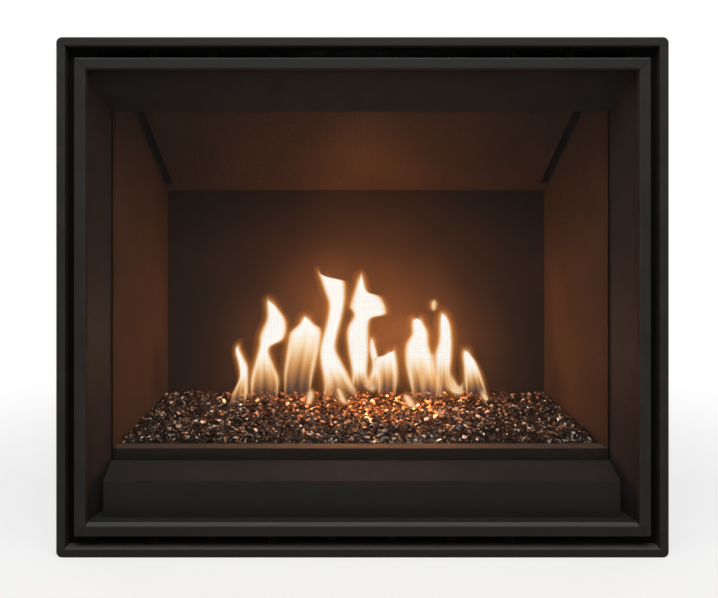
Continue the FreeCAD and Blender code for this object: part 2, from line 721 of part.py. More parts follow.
def rim_pieces():
    whole = channel_ring(FACE_HALF, 0.0, FACE_HEIGHT, RIM_FACE, 0.0, RIM_DEPTH, TRIM_SHEET,
                         (RIM_CORNER, 0.0), (RIM_EDGE, RIM_EDGE))
    rail_top = FACE_HEIGHT - RIM_FACE
    inner = FACE_HALF - RIM_FACE
    right = whole.common(block(inner, FACE_HALF, 0, RIM_DEPTH, RIM_FACE, rail_top - RIM_SEAM))
    return {
        "rim_top": whole.common(block(-FACE_HALF, FACE_HALF, 0, RIM_DEPTH, rail_top, FACE_HEIGHT)),
        "rim_bottom": whole.common(block(-FACE_HALF, FACE_HALF, 0, RIM_DEPTH, 0, RIM_FACE)),
        "rim_left": mirrored(right),
        "rim_right": right,
    }


def air_slots():
    """Two rows of slots, in the gaps under and over the screen."""
    first = AIR_SLOT_END_MARGIN - SCREEN_HALF
    pitch = (AIR_SLOT_BRIDGE - 2.0 * first) / AIR_SLOT_COUNT
    length = pitch - AIR_SLOT_BRIDGE
    low = RIM_FACE + (SCREEN_GAP_ENDS - AIR_SLOT_HEIGHT) / 2.0
    slots = []
    for z in (low, FACE_HEIGHT - low - AIR_SLOT_HEIGHT):
        for index in range(AIR_SLOT_COUNT):
            x = first + pitch * index
            slots.append(block(x, x + length, RIM_DEPTH, FLANGE_BACK, z, z + AIR_SLOT_HEIGHT))
    return group(slots)


def flange_holes():
    holes = []
    for side in (-1.0, 1.0):
        for z in FIXING_HEIGHTS:
            start = at(side * (SCREEN_HALF + FIXING_HOLE_OUT), RIM_DEPTH, z)
            holes.append(rod(start, Y_AXIS, FIXING_HOLE_RADIUS, CASING_SHEET))
        for z in STUD_HEIGHTS:
            holes.append(rod(at(side * STUD_X, RIM_DEPTH, z), Y_AXIS, STUD_RADIUS + SEAT_GAP, CASING_SHEET))
        slot_half = PANEL_TAB_WIDTH / 2.0 + SEAT_GAP
        slot_x = side * PANEL_TAB_X
        holes.append(block(slot_x - slot_half, slot_x + slot_half, PANEL_FRONT - SEAT_GAP,
                           PANEL_FRONT + TRIM_SHEET + SEAT_GAP, REVEAL_FLOOR - CASING_SHEET, REVEAL_FLOOR))
    return group(holes)


def shelf_wing():
    """The right-hand floor between the access panel's end and the splayed reveal."""
    slope = (REVEAL_HALF_BACK - REVEAL_HALF) / (REVEAL_BACK - FLANGE_BACK)
    near = REVEAL_HALF + slope * (SHELF_BACK - FLANGE_BACK)
    inner = PANEL_HALF - SHELF_WING_LAP
    plan = [(inner, SHELF_BACK), (near, SHELF_BACK), (REVEAL_HALF_BACK, REVEAL_BACK), (inner, REVEAL_BACK)]
    return prism_z(plan, REVEAL_FLOOR - CASING_SHEET, REVEAL_FLOOR)


def face_flange():
    plate = block(FLANGE_MARGIN - FACE_HALF, FACE_HALF - FLANGE_MARGIN, RIM_DEPTH, FLANGE_BACK,
                  FLANGE_MARGIN, FACE_HEIGHT - FLANGE_MARGIN)
    window = block(-REVEAL_HALF, REVEAL_HALF, RIM_DEPTH, FLANGE_BACK, REVEAL_FLOOR, REVEAL_TOP)
    underside = REVEAL_FLOOR - CASING_SHEET
    shelf = block(-REVEAL_HALF, REVEAL_HALF, FLANGE_BACK, SHELF_BACK, underside, REVEAL_FLOOR)
    wing = shelf_wing()
    whole = joined([plate.cut(window), shelf, wing, mirrored(wing)])
    return whole.cut(air_slots()).cut(flange_holes())


# Pull-off screen

def screen_rails():
    whole = channel_ring(SCREEN_HALF, SCREEN_LOW, SCREEN_HIGH, SCREEN_FACE, SCREEN_INSET, SCREEN_BACK,
                         SCREEN_SHEET, (0.0, SCREEN_LIP_CORNER), (SCREEN_OUTER_EDGE, SCREEN_LIP_EDGE))
    cut_in = SCREEN_FACE + SCREEN_LIP_CORNER
    outer = SCREEN_HALF - MITRE_GAP
    inner = outer - cut_in
    high, low = SCREEN_HIGH - cut_in, SCREEN_LOW + cut_in
    top = [(-outer, SCREEN_HIGH), (outer, SCREEN_HIGH), (inner, high), (-inner, high)]
    bottom = [(-outer, SCREEN_LOW), (outer, SCREEN_LOW), (inner, low), (-inner, low)]
    side = [(SCREEN_HALF, SCREEN_LOW), (SCREEN_HALF, SCREEN_HIGH),
            (SCREEN_HALF - cut_in, high), (SCREEN_HALF - cut_in, low)]
    stud_start = SCREEN_INSET + SCREEN_SHEET
    stud_length = STUD_TIP - stud_start
    studs = [rod(at(STUD_X, stud_start, z), Y_AXIS, STUD_RADIUS, stud_length) for z in STUD_HEIGHTS]
    right = joined([whole.common(prism_y(side, SCREEN_INSET, SCREEN_BACK))] + studs)
    return {
        "screen_rail_top": whole.common(prism_y(top, SCREEN_INSET, SCREEN_BACK)),
        "screen_rail_bottom": whole.common(prism_y(bottom, SCREEN_INSET, SCREEN_BACK)),
        "screen_rail_left": mirrored(right),
        "screen_rail_right": right,
    }


def screen_mesh():
    """A holed sheet that stands for the fine wire mesh."""
    half = SCREEN_HALF - SCREEN_FACE + MESH_OVERLAP
    low = SCREEN_LOW + SCREEN_FACE - MESH_OVERLAP
    high = SCREEN_HIGH - SCREEN_FACE + MESH_OVERLAP
    pitch_x = (2.0 * half - MESH_WIRE) / MESH_COLUMNS
    pitch_z = (high - low - MESH_WIRE) / MESH_ROWS

    def loop(x0, x1, z0, z1):
        corners = [at(x, SCREEN_BACK, z) for x, z in ((x0, z0), (x1, z0), (x1, z1), (x0, z1))]
        return Part.makePolygon(corners + corners[:1])

    loops = [loop(-half, half, low, high)]
    for column in range(MESH_COLUMNS):
        for row in range(MESH_ROWS):
            x = -half + MESH_WIRE + column * pitch_x
            z = low + MESH_WIRE + row * pitch_z
            loops.append(loop(x, x + pitch_x - MESH_WIRE, z, z + pitch_z - MESH_WIRE))
    return Part.makeFace(loops, "Part::FaceMakerBullseye").extrude(Y_AXIS * MESH_THICKNESS)


def screen_clips():
    clips = []
    for x in (-STUD_X, STUD_X):
        for z in STUD_HEIGHTS:
            bore = STUD_RADIUS + STUD_GAP
            clips.append(hollow_rod(at(x, FLANGE_BACK, z), Y_AXIS, bore + CLIP_WALL, CLIP_WALL, CLIP_LENGTH))
    return group(clips)


# Reveal and access panel

def reveal_side():
    """The right reveal panel; its top edge meets the top panel in a mitre."""
    def loop(half, top, depth):
        return [at(half, depth, REVEAL_FLOOR), at(half, depth, top),
                at(half + TRIM_SHEET, depth, top + TRIM_SHEET), at(half + TRIM_SHEET, depth, REVEAL_FLOOR)]
    return hexahedron(loop(REVEAL_HALF, REVEAL_TOP, FLANGE_BACK),
                      loop(REVEAL_HALF_BACK, REVEAL_TOP_BACK, REVEAL_BACK))


def reveal_top():
    def loop(half, top, depth):
        outer = half + TRIM_SHEET
        return [at(-half, depth, top), at(half, depth, top),
                at(outer, depth, top + TRIM_SHEET), at(-outer, depth, top + TRIM_SHEET)]
    return hexahedron(loop(REVEAL_HALF, REVEAL_TOP, FLANGE_BACK),
                      loop(REVEAL_HALF_BACK, REVEAL_TOP_BACK, REVEAL_BACK))


def access_panel():
    bottom = REVEAL_FLOOR + SEAT_GAP
    back_top = PANEL_FRONT_TOP + PANEL_RISE
    path = [(PANEL_BACK, back_top - PANEL_BACK_LIP), (PANEL_BACK, back_top),
            (PANEL_FRONT, PANEL_FRONT_TOP), (PANEL_FRONT, bottom)]
    sheet = prism_x(bent(path, TRIM_SHEET), -PANEL_HALF, PANEL_HALF)
    end = prism_x(path, PANEL_HALF - TRIM_SHEET, PANEL_HALF)
    tab_half = PANEL_TAB_WIDTH / 2.0
    tab = block(PANEL_TAB_X - tab_half, PANEL_TAB_X + tab_half, PANEL_FRONT, PANEL_FRONT + TRIM_SHEET,
                bottom - PANEL_TAB_LENGTH, bottom)
    return joined([sheet, end, mirrored(end), tab, mirrored(tab)])


# Glass front

def glass_limits(inset):
    """Half width, low and high edge of the glass frame, taken in by inset."""
    outward = GLASS_OVERLAP - inset
    return CHAMBER_HALF_FRONT + outward, MOUTH_LOW - outward, MOUTH_HIGH + outward


def framed(outer_inset, inner_inset, depth0, depth1):
    """A flat ring between two outlines of the glass frame."""
    half, low, high = glass_limits(outer_inset)
    outer = block(-half, half, depth0, depth1, low, high)
    half, low, high = glass_limits(inner_inset)
    return outer.cut(block(-half, half, depth0, depth1, low, high))


def glass_frame():
    front = framed(0.0, GLASS_FRAME_LIP, GLASS_FRONT, GLASS_FACE)
    wall = framed(0.0, GLASS_FRAME_SHEET, GLASS_FACE, GLASS_FACE + GLASS_FRAME_WALL)
    return joined([front, wall])


def glass_pane():
    half, low, high = glass_limits(GLASS_FRAME_SHEET + GLASS_EDGE_GAP)
    return block(-half, half, GLASS_FACE, GLASS_REAR, low, high)


def glass_gasket():
    outer = GLASS_FRAME_SHEET + GASKET_EDGE_GAP
    return framed(outer, outer + GASKET_WIDTH, GLASS_REAR, FIREBOX_FRONT)


# Firebox

def firebox_front_flange():
    """The plate round the mouth, with the ears and pins of the two glass latches."""
    mouth = CHAMBER_HALF_FRONT
    half = mouth + MOUTH_RIM
    plate = block(-half, half, FIREBOX_FRONT, CHAMBER_FRONT, APRON_LOW, ROOF_TOP)
    plate = plate.cut(block(-mouth, mouth, FIREBOX_FRONT, CHAMBER_FRONT, MOUTH_LOW, MOUTH_HIGH))
    return joined([plate] + latch_ears(LATCH_X) + latch_ears(-LATCH_X))


def air_inlet():
    """The opening low in the firebox back that lets combustion air in under the tray."""
    return block(-AIR_INLET_HALF, AIR_INLET_HALF, CHAMBER_BACK, FIREBOX_BACK, AIR_INLET_LOW, AIR_INLET_HIGH)


def liner_side():
    near, far = chamber_half(CHAMBER_FRONT), chamber_half(CHAMBER_BACK)
    plan = [(near, CHAMBER_FRONT), (near + FIREBOX_SHEET, CHAMBER_FRONT),
            (far + FIREBOX_SHEET, CHAMBER_BACK), (far, CHAMBER_BACK)]
    return prism_z(plan, CHAMBER_FLOOR, CHAMBER_ROOF)


def liner_back():
    half = CHAMBER_HALF_BACK + FIREBOX_SHEET
    plate = block(-half, half, CHAMBER_BACK, LINER_BACK, CHAMBER_FLOOR, LINER_TOP)
    hem = block(-CHAMBER_HALF_BACK, CHAMBER_HALF_BACK, CHAMBER_BACK - LINER_HEM_PROUD, CHAMBER_BACK,
                LINER_TOP - LINER_HEM, LINER_TOP)
    clear = prism_z(chamber_plan(CHAMBER_FRONT, CHAMBER_BACK, 0.0), CHAMBER_FLOOR, CHAMBER_ROOF)
    return joined([plate, hem.common(clear)]).cut(air_inlet())


def firebox_wrap():
    near = CHAMBER_HALF_FRONT + FIREBOX_SHEET
    far = CHAMBER_HALF_BACK + FIREBOX_SHEET
    inner = [(near, CHAMBER_FRONT), (far, CHAMBER_BACK), (far, LINER_BACK)]
    outer = [(near + FIREBOX_SHEET, CHAMBER_FRONT), (far + FIREBOX_SHEET, CHAMBER_BACK),
             (far + FIREBOX_SHEET, FIREBOX_BACK)]
    left_inner = [(-x, depth) for x, depth in inner]
    left_outer = [(-x, depth) for x, depth in outer]
    plan = outer + left_outer[::-1] + left_inner + inner[::-1]
    return prism_z(plan, CHAMBER_FLOOR, CHAMBER_ROOF).cut(air_inlet())


def shell_plate(z0, z1):
    """A flat plate over the whole plan of the firebox."""
    near = CHAMBER_HALF_FRONT + 2.0 * FIREBOX_SHEET
    far = CHAMBER_HALF_BACK + 2.0 * FIREBOX_SHEET
    plan = [(-near, CHAMBER_FRONT), (near, CHAMBER_FRONT), (far, CHAMBER_BACK), (far, FIREBOX_BACK),
            (-far, FIREBOX_BACK), (-far, CHAMBER_BACK)]
    return prism_z(plan, z0, z1)


def firebox_floor():
    gas_radius = PIPE_RADIUS + FLOOR_HOLE_GAP
    gas = rod(at(ORIFICE_X, VENTURI_DEPTH, FLOOR_UNDERSIDE), Z_AXIS, gas_radius, FIREBOX_SHEET)
    pilot_depth = PILOT_FRONT + PILOT_DEPTH_SIZE / 2.0
    pilot_radius = PILOT_PIPE_RADIUS + FLOOR_HOLE_GAP
    pilot = rod(at(PILOT_X, pilot_depth, FLOOR_UNDERSIDE), Z_AXIS, pilot_radius, FIREBOX_SHEET)
    return shell_plate(FLOOR_UNDERSIDE, CHAMBER_FLOOR).cut(gas).cut(pilot)


def restrictor_rails():
    """Two ledges under the roof that carry the restrictor plate."""
    plate_low = CHAMBER_ROOF - RESTRICTOR_BELOW_ROOF - RESTRICTOR_THICKNESS
    lip_top = plate_low - SEAT_GAP
    lip_low = lip_top - RAIL_WALL
    rails = []
    for side in (-1.0, 1.0):
        edge = FLUE_DEPTH + side * (RESTRICTOR_HALF + SEAT_GAP)
        outer = edge + side * RAIL_WALL
        inner = edge - side * RAIL_LIP
        web = sorted((edge, outer))
        lip = sorted((inner, outer))
        rails.append(block(RAIL_LEFT, RAIL_RIGHT, web[0], web[1], lip_low, CHAMBER_ROOF))
        rails.append(block(RAIL_LEFT, RAIL_RIGHT, lip[0], lip[1], lip_low, lip_top))
    return rails


def relief_hinge():
    """Two ears on the roof and the pin between them."""
    inner = RELIEF_HALF + RELIEF_EAR_GAP
    outer = inner + RELIEF_EAR
    ears = []
    for x0, x1 in ((inner, outer), (-outer, -inner)):
        ears.append(block(x0, x1, RELIEF_HINGE_DEPTH - RELIEF_EAR, RELIEF_HINGE_DEPTH + RELIEF_EAR,
                          ROOF_TOP, RELIEF_HINGE_Z + RELIEF_EAR))
    pin = rod(at(-outer, RELIEF_HINGE_DEPTH, RELIEF_HINGE_Z), X_AXIS, RELIEF_PIN_RADIUS, 2.0 * outer)
    return ears + [pin]


def firebox_roof():
    flue = rod(at(0, FLUE_DEPTH, CHAMBER_ROOF), Z_AXIS, EXHAUST_RADIUS - COLLAR_WALL, FIREBOX_SHEET)
    port_half = RELIEF_HALF - RELIEF_LAP
    port_front, port_back = RELIEF_FRONT + RELIEF_LAP, RELIEF_BACK - RELIEF_LAP
    port = block(-port_half, port_half, port_front, port_back, CHAMBER_ROOF, ROOF_TOP)
    plate = shell_plate(CHAMBER_ROOF, ROOF_TOP).cut(flue).cut(port)
    return joined([plate] + restrictor_rails() + relief_hinge())


def relief_flap():
    low = ROOF_TOP + SEAT_GAP
    plate = block(-RELIEF_HALF, RELIEF_HALF, RELIEF_FRONT, RELIEF_HINGE_DEPTH, low, low + FIREBOX_SHEET)
    start = at(-RELIEF_HALF, RELIEF_HINGE_DEPTH, RELIEF_HINGE_Z)
    knuckle = rod(start, X_AXIS, RELIEF_KNUCKLE_RADIUS, 2.0 * RELIEF_HALF)
    return joined([plate, knuckle]).cut(rod(start, X_AXIS, RELIEF_PIN_RADIUS + PIN_GAP, 2.0 * RELIEF_HALF))


def flue_restrictor():
    low = CHAMBER_ROOF - RESTRICTOR_BELOW_ROOF - RESTRICTOR_THICKNESS
    return block(RESTRICTOR_REST_X, RESTRICTOR_REST_X + RESTRICTOR_LENGTH, FLUE_DEPTH - RESTRICTOR_HALF,
                 FLUE_DEPTH + RESTRICTOR_HALF, low, low + RESTRICTOR_THICKNESS)


def heat_baffle():
    path = [(LINER_BACK, baffle_height(LINER_BACK)), (BAFFLE_HEAD_DEPTH, CHAMBER_ROOF)]
    over = bent(path[::-1], FIREBOX_SHEET)
    half = CHAMBER_HALF_FRONT
    sheet = prism_x(over, -half, half)
    room = prism_z(chamber_plan(CHAMBER_FRONT, LINER_BACK, 0.0), LINER_TOP, CHAMBER_ROOF)
    sheet = sheet.common(room)
    stop = CHAMBER_BACK - BAFFLE_SLOT_STOP
    near, far = chamber_half(CHAMBER_FRONT), chamber_half(stop)
    slot = prism_z([(near - BAFFLE_SLOT, CHAMBER_FRONT), (near, CHAMBER_FRONT), (far, stop),
                    (far - BAFFLE_SLOT, stop)], LINER_TOP, CHAMBER_ROOF)
    return sheet.cut(slot).cut(mirrored(slot))


def firebox_supports():
    profile = bent([(SUPPORT_X - SUPPORT_FOOT, CASING_SHEET), (SUPPORT_X, CASING_SHEET),
                    (SUPPORT_X, FLOOR_UNDERSIDE), (SUPPORT_X - SUPPORT_FOOT, FLOOR_UNDERSIDE)], BRACKET_SHEET)
    right = prism_y(profile, SUPPORT_FRONT, SUPPORT_FRONT + SUPPORT_LENGTH)
    return group([right, mirrored(right)])


# Burner tray, crushed glass, burner and pilot

def pilot_box(spare, z0, z1):
    """The upright space round the pilot."""
    return block(PILOT_X - PILOT_HALF - spare, PILOT_X + PILOT_HALF + spare, PILOT_FRONT - spare,
                 PILOT_FRONT + PILOT_DEPTH_SIZE + spare, z0, z1)


def media_tray():
    back = CHAMBER_BACK - TRAY_SIDE_GAP
    path = [(back, CHAMBER_FLOOR), (back, TRAY_TOP), (TRAY_LIP_BACK, TRAY_TOP),
            (TRAY_LIP_BACK, TRAY_LIP_TOP), (TRAY_FRONT, TRAY_LIP_TOP), (TRAY_FRONT, CHAMBER_FLOOR)]
    sheet = prism_x(bent(path, TRIM_SHEET), -CHAMBER_HALF_FRONT, CHAMBER_HALF_FRONT)
    room = prism_z(chamber_plan(CHAMBER_FRONT, CHAMBER_BACK, -TRAY_SIDE_GAP), CHAMBER_FLOOR, TRAY_LIP_TOP)
    burner = block(-BURNER_HALF - BURNER_GAP, BURNER_HALF + BURNER_GAP, BURNER_FRONT - BURNER_GAP,
                   BURNER_BACK + BURNER_GAP, CHAMBER_FLOOR, TRAY_TOP)
    inlet = block(-AIR_INLET_HALF, AIR_INLET_HALF, back - TRIM_SHEET, back, AIR_INLET_LOW, AIR_INLET_HIGH)
    pilot = pilot_box(PILOT_POCKET, CHAMBER_FLOOR, TRAY_TOP)
    return sheet.common(room).cut(burner).cut(pilot).cut(inlet)


def bed_height(depth, column, row):
    share = (depth - TRAY_LIP_BACK) / (CHAMBER_BACK - TRAY_LIP_BACK)
    heap = sum(math.sin(across * column + along * row) for across, along in BED_WAVES)
    return TRAY_LIP_TOP + share * BED_RISE + BED_ROUGHNESS * heap / len(BED_WAVES)


def crushed_glass_bed():
    """A bed with an uneven top of flat facets."""
    front, back = TRAY_LIP_BACK + SEAT_GAP, CHAMBER_BACK - TRAY_SIDE_GAP - LINER_HEM_PROUD
    depths = spread(front, back, BED_ROWS + 1)

    def top(column, row):
        half = chamber_half(depths[row]) - TRAY_SIDE_GAP
        x = -half + 2.0 * half * column / BED_COLUMNS
        return at(x, depths[row], bed_height(depths[row], column, row))

    faces = []
    for column in range(BED_COLUMNS):
        for row in range(BED_ROWS):
            a, b = top(column, row), top(column + 1, row)
            c, d = top(column + 1, row + 1), top(column, row + 1)
            faces += [[a, b, c], [a, c, d]]

    def below(point):
        return FreeCAD.Vector(point.x, point.y, TRAY_TOP)

    columns, rows = range(BED_COLUMNS + 1), range(BED_ROWS + 1)
    rims = [[top(c, 0) for c in columns], [top(BED_COLUMNS, r) for r in rows],
            [top(c, BED_ROWS) for c in reversed(columns)], [top(0, r) for r in reversed(rows)]]
    faces += [rim + [below(rim[-1]), below(rim[0])] for rim in rims]
    faces.append([below(rim[0]) for rim in rims])
    return polyhedron(faces).cut(pilot_box(PILOT_POCKET, TRAY_TOP, BED_BACK_TOP + 2.0 * BED_ROUGHNESS))


def burner_pan():
    shell = block(-BURNER_HALF, BURNER_HALF, BURNER_FRONT, BURNER_BACK, BURNER_BASE, TRAY_TOP)
    wall = BURNER_SHEET
    room = block(wall - BURNER_HALF, BURNER_HALF - wall, BURNER_FRONT + wall, BURNER_BACK - wall,
                 BURNER_BASE + wall, TRAY_TOP - wall)
    start = at(VENTURI_END, VENTURI_DEPTH, VENTURI_Z)
    tube = rod(start, X_AXIS, VENTURI_RADIUS, VENTURI_LENGTH)
    bore = rod(start, X_AXIS, VENTURI_RADIUS - VENTURI_WALL, VENTURI_LENGTH + wall)
    foot_x = BURNER_HALF - BURNER_FOOT
    feet = []
    for foot_front in (BURNER_FRONT, BURNER_BACK - BURNER_FOOT):
        foot_back = foot_front + BURNER_FOOT
        foot = block(foot_x, BURNER_HALF, foot_front, foot_back, CHAMBER_FLOOR, BURNER_BASE)
        feet += [foot, mirrored(foot)]
    pan = joined([shell, tube] + feet).cut(room).cut(bore)
    port_reach = BURNER_HALF - 2.0 * BURNER_FOOT
    ports = []
    for share in PORT_ROW_SHARES:
        depth = BURNER_FRONT + share * BURNER_DEPTH
        for x in spread(-port_reach, port_reach, PORTS_PER_ROW):
            ports.append(rod(at(x, depth, TRAY_TOP - wall), Z_AXIS, PORT_RADIUS, wall))
    return pan.cut(group(ports)).cut(air_windows(VENTURI_RADIUS))


def air_windows(radius):
    """Two openings across the venturi tube for primary air."""
    x0 = VENTURI_END + AIR_WINDOW_INSET
    half = AIR_WINDOW_WIDTH / 2.0
    return block(x0, x0 + AIR_WINDOW_LENGTH, VENTURI_DEPTH - radius, VENTURI_DEPTH + radius,
                 VENTURI_Z - half, VENTURI_Z + half)


def air_shutter():
    bore = VENTURI_RADIUS + PIN_GAP
    outer = bore + SHUTTER_WALL
    sleeve = rod(at(VENTURI_END, VENTURI_DEPTH, VENTURI_Z), X_AXIS, outer, SHUTTER_LENGTH)
    tab_end = VENTURI_END + SHUTTER_LENGTH
    tab_half = SHUTTER_TAB_THICKNESS / 2.0
    tab = block(tab_end - 2.0 * SHUTTER_TAB_THICKNESS, tab_end, VENTURI_DEPTH - outer - SHUTTER_TAB,
                VENTURI_DEPTH, VENTURI_Z - tab_half, VENTURI_Z + tab_half)
    whole = joined([sleeve, tab])
    whole = whole.cut(rod(at(VENTURI_END, VENTURI_DEPTH, VENTURI_Z), X_AXIS, bore, SHUTTER_LENGTH))
    return whole.cut(air_windows(outer))


def pilot_assembly():
    depth = PILOT_FRONT + PILOT_DEPTH_SIZE / 2.0
    profile = bent([(PILOT_FRONT, CHAMBER_FLOOR), (PILOT_FRONT + PILOT_DEPTH_SIZE, CHAMBER_FLOOR),
                    (PILOT_FRONT + PILOT_DEPTH_SIZE, PILOT_SHELF), (PILOT_FRONT, PILOT_SHELF)], BRACKET_SHEET)
    bracket = prism_x(profile, PILOT_X - PILOT_HALF, PILOT_X + PILOT_HALF)
    route = [at(PILOT_X, depth, PILOT_SHELF - BRACKET_SHEET), at(PILOT_X, depth, PILOT_PIPE_Z),
             at(PILOT_X, PILOT_PIPE_DEPTH, PILOT_PIPE_Z), at(VALVE_LEFT, PILOT_PIPE_DEPTH, PILOT_PIPE_Z)]
    pipe = bent_pipe(route, PILOT_PIPE_RADIUS, PILOT_PIPE_BEND)
    hood = rod(at(PILOT_X, depth, PILOT_SHELF), Z_AXIS, PILOT_HOOD_RADIUS, PILOT_HOOD_TOP - PILOT_SHELF)
    mouth = block(PILOT_X - PILOT_HOOD_RADIUS, PILOT_X + PILOT_HOOD_RADIUS, depth, depth + PILOT_HOOD_RADIUS,
                  PILOT_HOOD_TOP - 2.0 * PILOT_HOOD_RADIUS, PILOT_HOOD_TOP - PILOT_HOOD_RADIUS / 2.0)
    electrode = rod(at(PILOT_X - PILOT_ROD_OFFSET, depth, PILOT_SHELF), Z_AXIS, PILOT_ELECTRODE_RADIUS,
                    PILOT_HOOD_TOP - PILOT_SHELF)
    sensor = rod(at(PILOT_X + PILOT_ROD_OFFSET, depth, PILOT_SHELF), Z_AXIS, PILOT_SENSOR_RADIUS,
                 PILOT_HOOD_TOP - PILOT_SHELF)
    return group([bracket.cut(pipe), pipe, hood.cut(mouth), electrode, sensor])


# Gas train and controls

def gas_valve_body():
    body = block(VALVE_LEFT, VALVE_RIGHT, CONTROL_BACK, VALVE_BACK, VALVE_LOW, VALVE_HIGH)
    body = body.makeFillet(VALVE_EDGE, along_y(body))
    inlet = rod(at(VALVE_RIGHT, GAS_LINE_DEPTH, GAS_LINE_Z), X_AXIS, VALVE_BOSS_RADIUS, VALVE_BOSS_LENGTH)
    outlet = rod(at(VALVE_LEFT - VALVE_BOSS_LENGTH, GAS_LINE_DEPTH, GAS_LINE_Z), X_AXIS, VALVE_BOSS_RADIUS,
                 VALVE_BOSS_LENGTH)
    body = joined([body, inlet, outlet])
    for x in (MAIN_KNOB_X, FLAME_KNOB_X):
        start = at(x, CONTROL_BACK, CONTROL_Z)
        body = body.cut(rod(start, Y_AXIS, KNOB_SHAFT_RADIUS + PIN_GAP, KNOB_SHAFT_REACH + SEAT_GAP))
    return body


def control_panel():
    path = [(CONTROL_FRONT + CONTROL_FOOT, CASING_SHEET), (CONTROL_FRONT, CASING_SHEET),
            (CONTROL_FRONT, CONTROL_TOP)]
    plate = prism_x(bent(path[::-1], BRACKET_SHEET), CONTROL_LEFT, CONTROL_RIGHT)
    for x in (MAIN_KNOB_X, FLAME_KNOB_X):
        hole = KNOB_SHAFT_RADIUS + KNOB_SHAFT_HOLE_GAP
        plate = plate.cut(rod(at(x, CONTROL_FRONT, CONTROL_Z), Y_AXIS, hole, BRACKET_SHEET))
    return plate.cut(rod(at(IGNITER_X, CONTROL_FRONT, CONTROL_Z), Y_AXIS, IGNITER_RADIUS, BRACKET_SHEET))


def knob(x, radius, length):
    """A round knob with a raised grip bar, on its shaft."""
    back = CONTROL_FRONT - KNOB_STANDOFF
    front = back - length
    body = rod(at(x, front, CONTROL_Z), Y_AXIS, radius, length)
    body = body.makeFillet(KNOB_STANDOFF, front_edges(body, body.BoundBox))
    half = KNOB_GRIP_WIDTH / 2.0
    reach = radius * KNOB_GRIP_SHARE
    grip_front = front - KNOB_GRIP_HEIGHT
    grip = block(x - half, x + half, grip_front, front, CONTROL_Z - reach, CONTROL_Z + reach)
    shaft_length = CONTROL_BACK + KNOB_SHAFT_REACH - back
    shaft = rod(at(x, back, CONTROL_Z), Y_AXIS, KNOB_SHAFT_RADIUS, shaft_length)
    return joined([body, grip, shaft])


def igniter_body():
    start = at(IGNITER_X, CONTROL_FRONT - IGNITER_NUT_LENGTH, CONTROL_Z)
    nut = hexagon(start, Y_AXIS, IGNITER_NUT_RADIUS, IGNITER_NUT_LENGTH)
    barrel = rod(start, Y_AXIS, IGNITER_RADIUS, IGNITER_NUT_LENGTH + IGNITER_LENGTH)
    bore = rod(start, Y_AXIS, BUTTON_RADIUS + PIN_GAP, IGNITER_NUT_LENGTH + BUTTON_REACH + BUTTON_BORE_SPARE)
    return joined([nut, barrel]).cut(bore)


def igniter_button():
    start = at(IGNITER_X, CONTROL_FRONT - IGNITER_NUT_LENGTH - BUTTON_PROUD, CONTROL_Z)
    button = rod(start, Y_AXIS, BUTTON_RADIUS, BUTTON_PROUD + IGNITER_NUT_LENGTH + BUTTON_REACH)
    return button.makeFillet(BUTTON_RADIUS / 4.0, front_edges(button, button.BoundBox))


def gas_supply_pipe():
    x0, x1 = VALVE_RIGHT + VALVE_BOSS_LENGTH, SHUTOFF_LEFT
    start = at(x0, GAS_LINE_DEPTH, GAS_LINE_Z)
    pipe = rod(start, X_AXIS, PIPE_RADIUS, x1 - x0)
    near = hexagon(start, X_AXIS, NUT_RADIUS, NUT_LENGTH)
    far = hexagon(at(x1 - NUT_LENGTH, GAS_LINE_DEPTH, GAS_LINE_Z), X_AXIS, NUT_RADIUS, NUT_LENGTH)
    return joined([pipe, near, far]).cut(rod(start, X_AXIS, PIPE_RADIUS - PIPE_WALL, x1 - x0))


def shutoff_valve_body():
    start = at(SHUTOFF_LEFT, GAS_LINE_DEPTH, GAS_LINE_Z)
    length = SHUTOFF_RIGHT - SHUTOFF_LEFT
    barrel = hexagon(start, X_AXIS, SHUTOFF_RADIUS, length)
    boss = rod(at(STEM_X, GAS_LINE_DEPTH, GAS_LINE_Z), Z_AXIS, STEM_BOSS_RADIUS, STEM_BOSS_TOP - GAS_LINE_Z)
    inlet_start = at(SHUTOFF_RIGHT - INLET_LENGTH, GAS_LINE_DEPTH, GAS_LINE_Z)
    inlet = rod(inlet_start, X_AXIS, INLET_RADIUS, INLET_LENGTH)
    stem_room = STEM_DEPTH + SEAT_GAP
    stem_start = at(STEM_X, GAS_LINE_DEPTH, STEM_BOSS_TOP - stem_room)
    stem = rod(stem_start, Z_AXIS, STEM_RADIUS + PIN_GAP, stem_room)
    outlet = rod(start, X_AXIS, PIPE_RADIUS - PIPE_WALL, STEM_X - SHUTOFF_LEFT - STEM_BOSS_RADIUS)
    return joined([barrel, boss]).cut(inlet).cut(stem).cut(outlet)


def shutoff_lever():
    low = STEM_BOSS_TOP + SEAT_GAP
    half = LEVER_WIDTH / 2.0
    stem = rod(at(STEM_X, GAS_LINE_DEPTH, STEM_BOSS_TOP - STEM_DEPTH), Z_AXIS, STEM_RADIUS,
               STEM_DEPTH + SEAT_GAP + LEVER_THICKNESS)
    high = low + LEVER_THICKNESS
    bar = block(STEM_X - LEVER_LENGTH, STEM_X, GAS_LINE_DEPTH - half, GAS_LINE_DEPTH + half, low, high)
    eye = rod(at(STEM_X, GAS_LINE_DEPTH, low), Z_AXIS, half, LEVER_THICKNESS)
    return joined([stem, bar, eye])


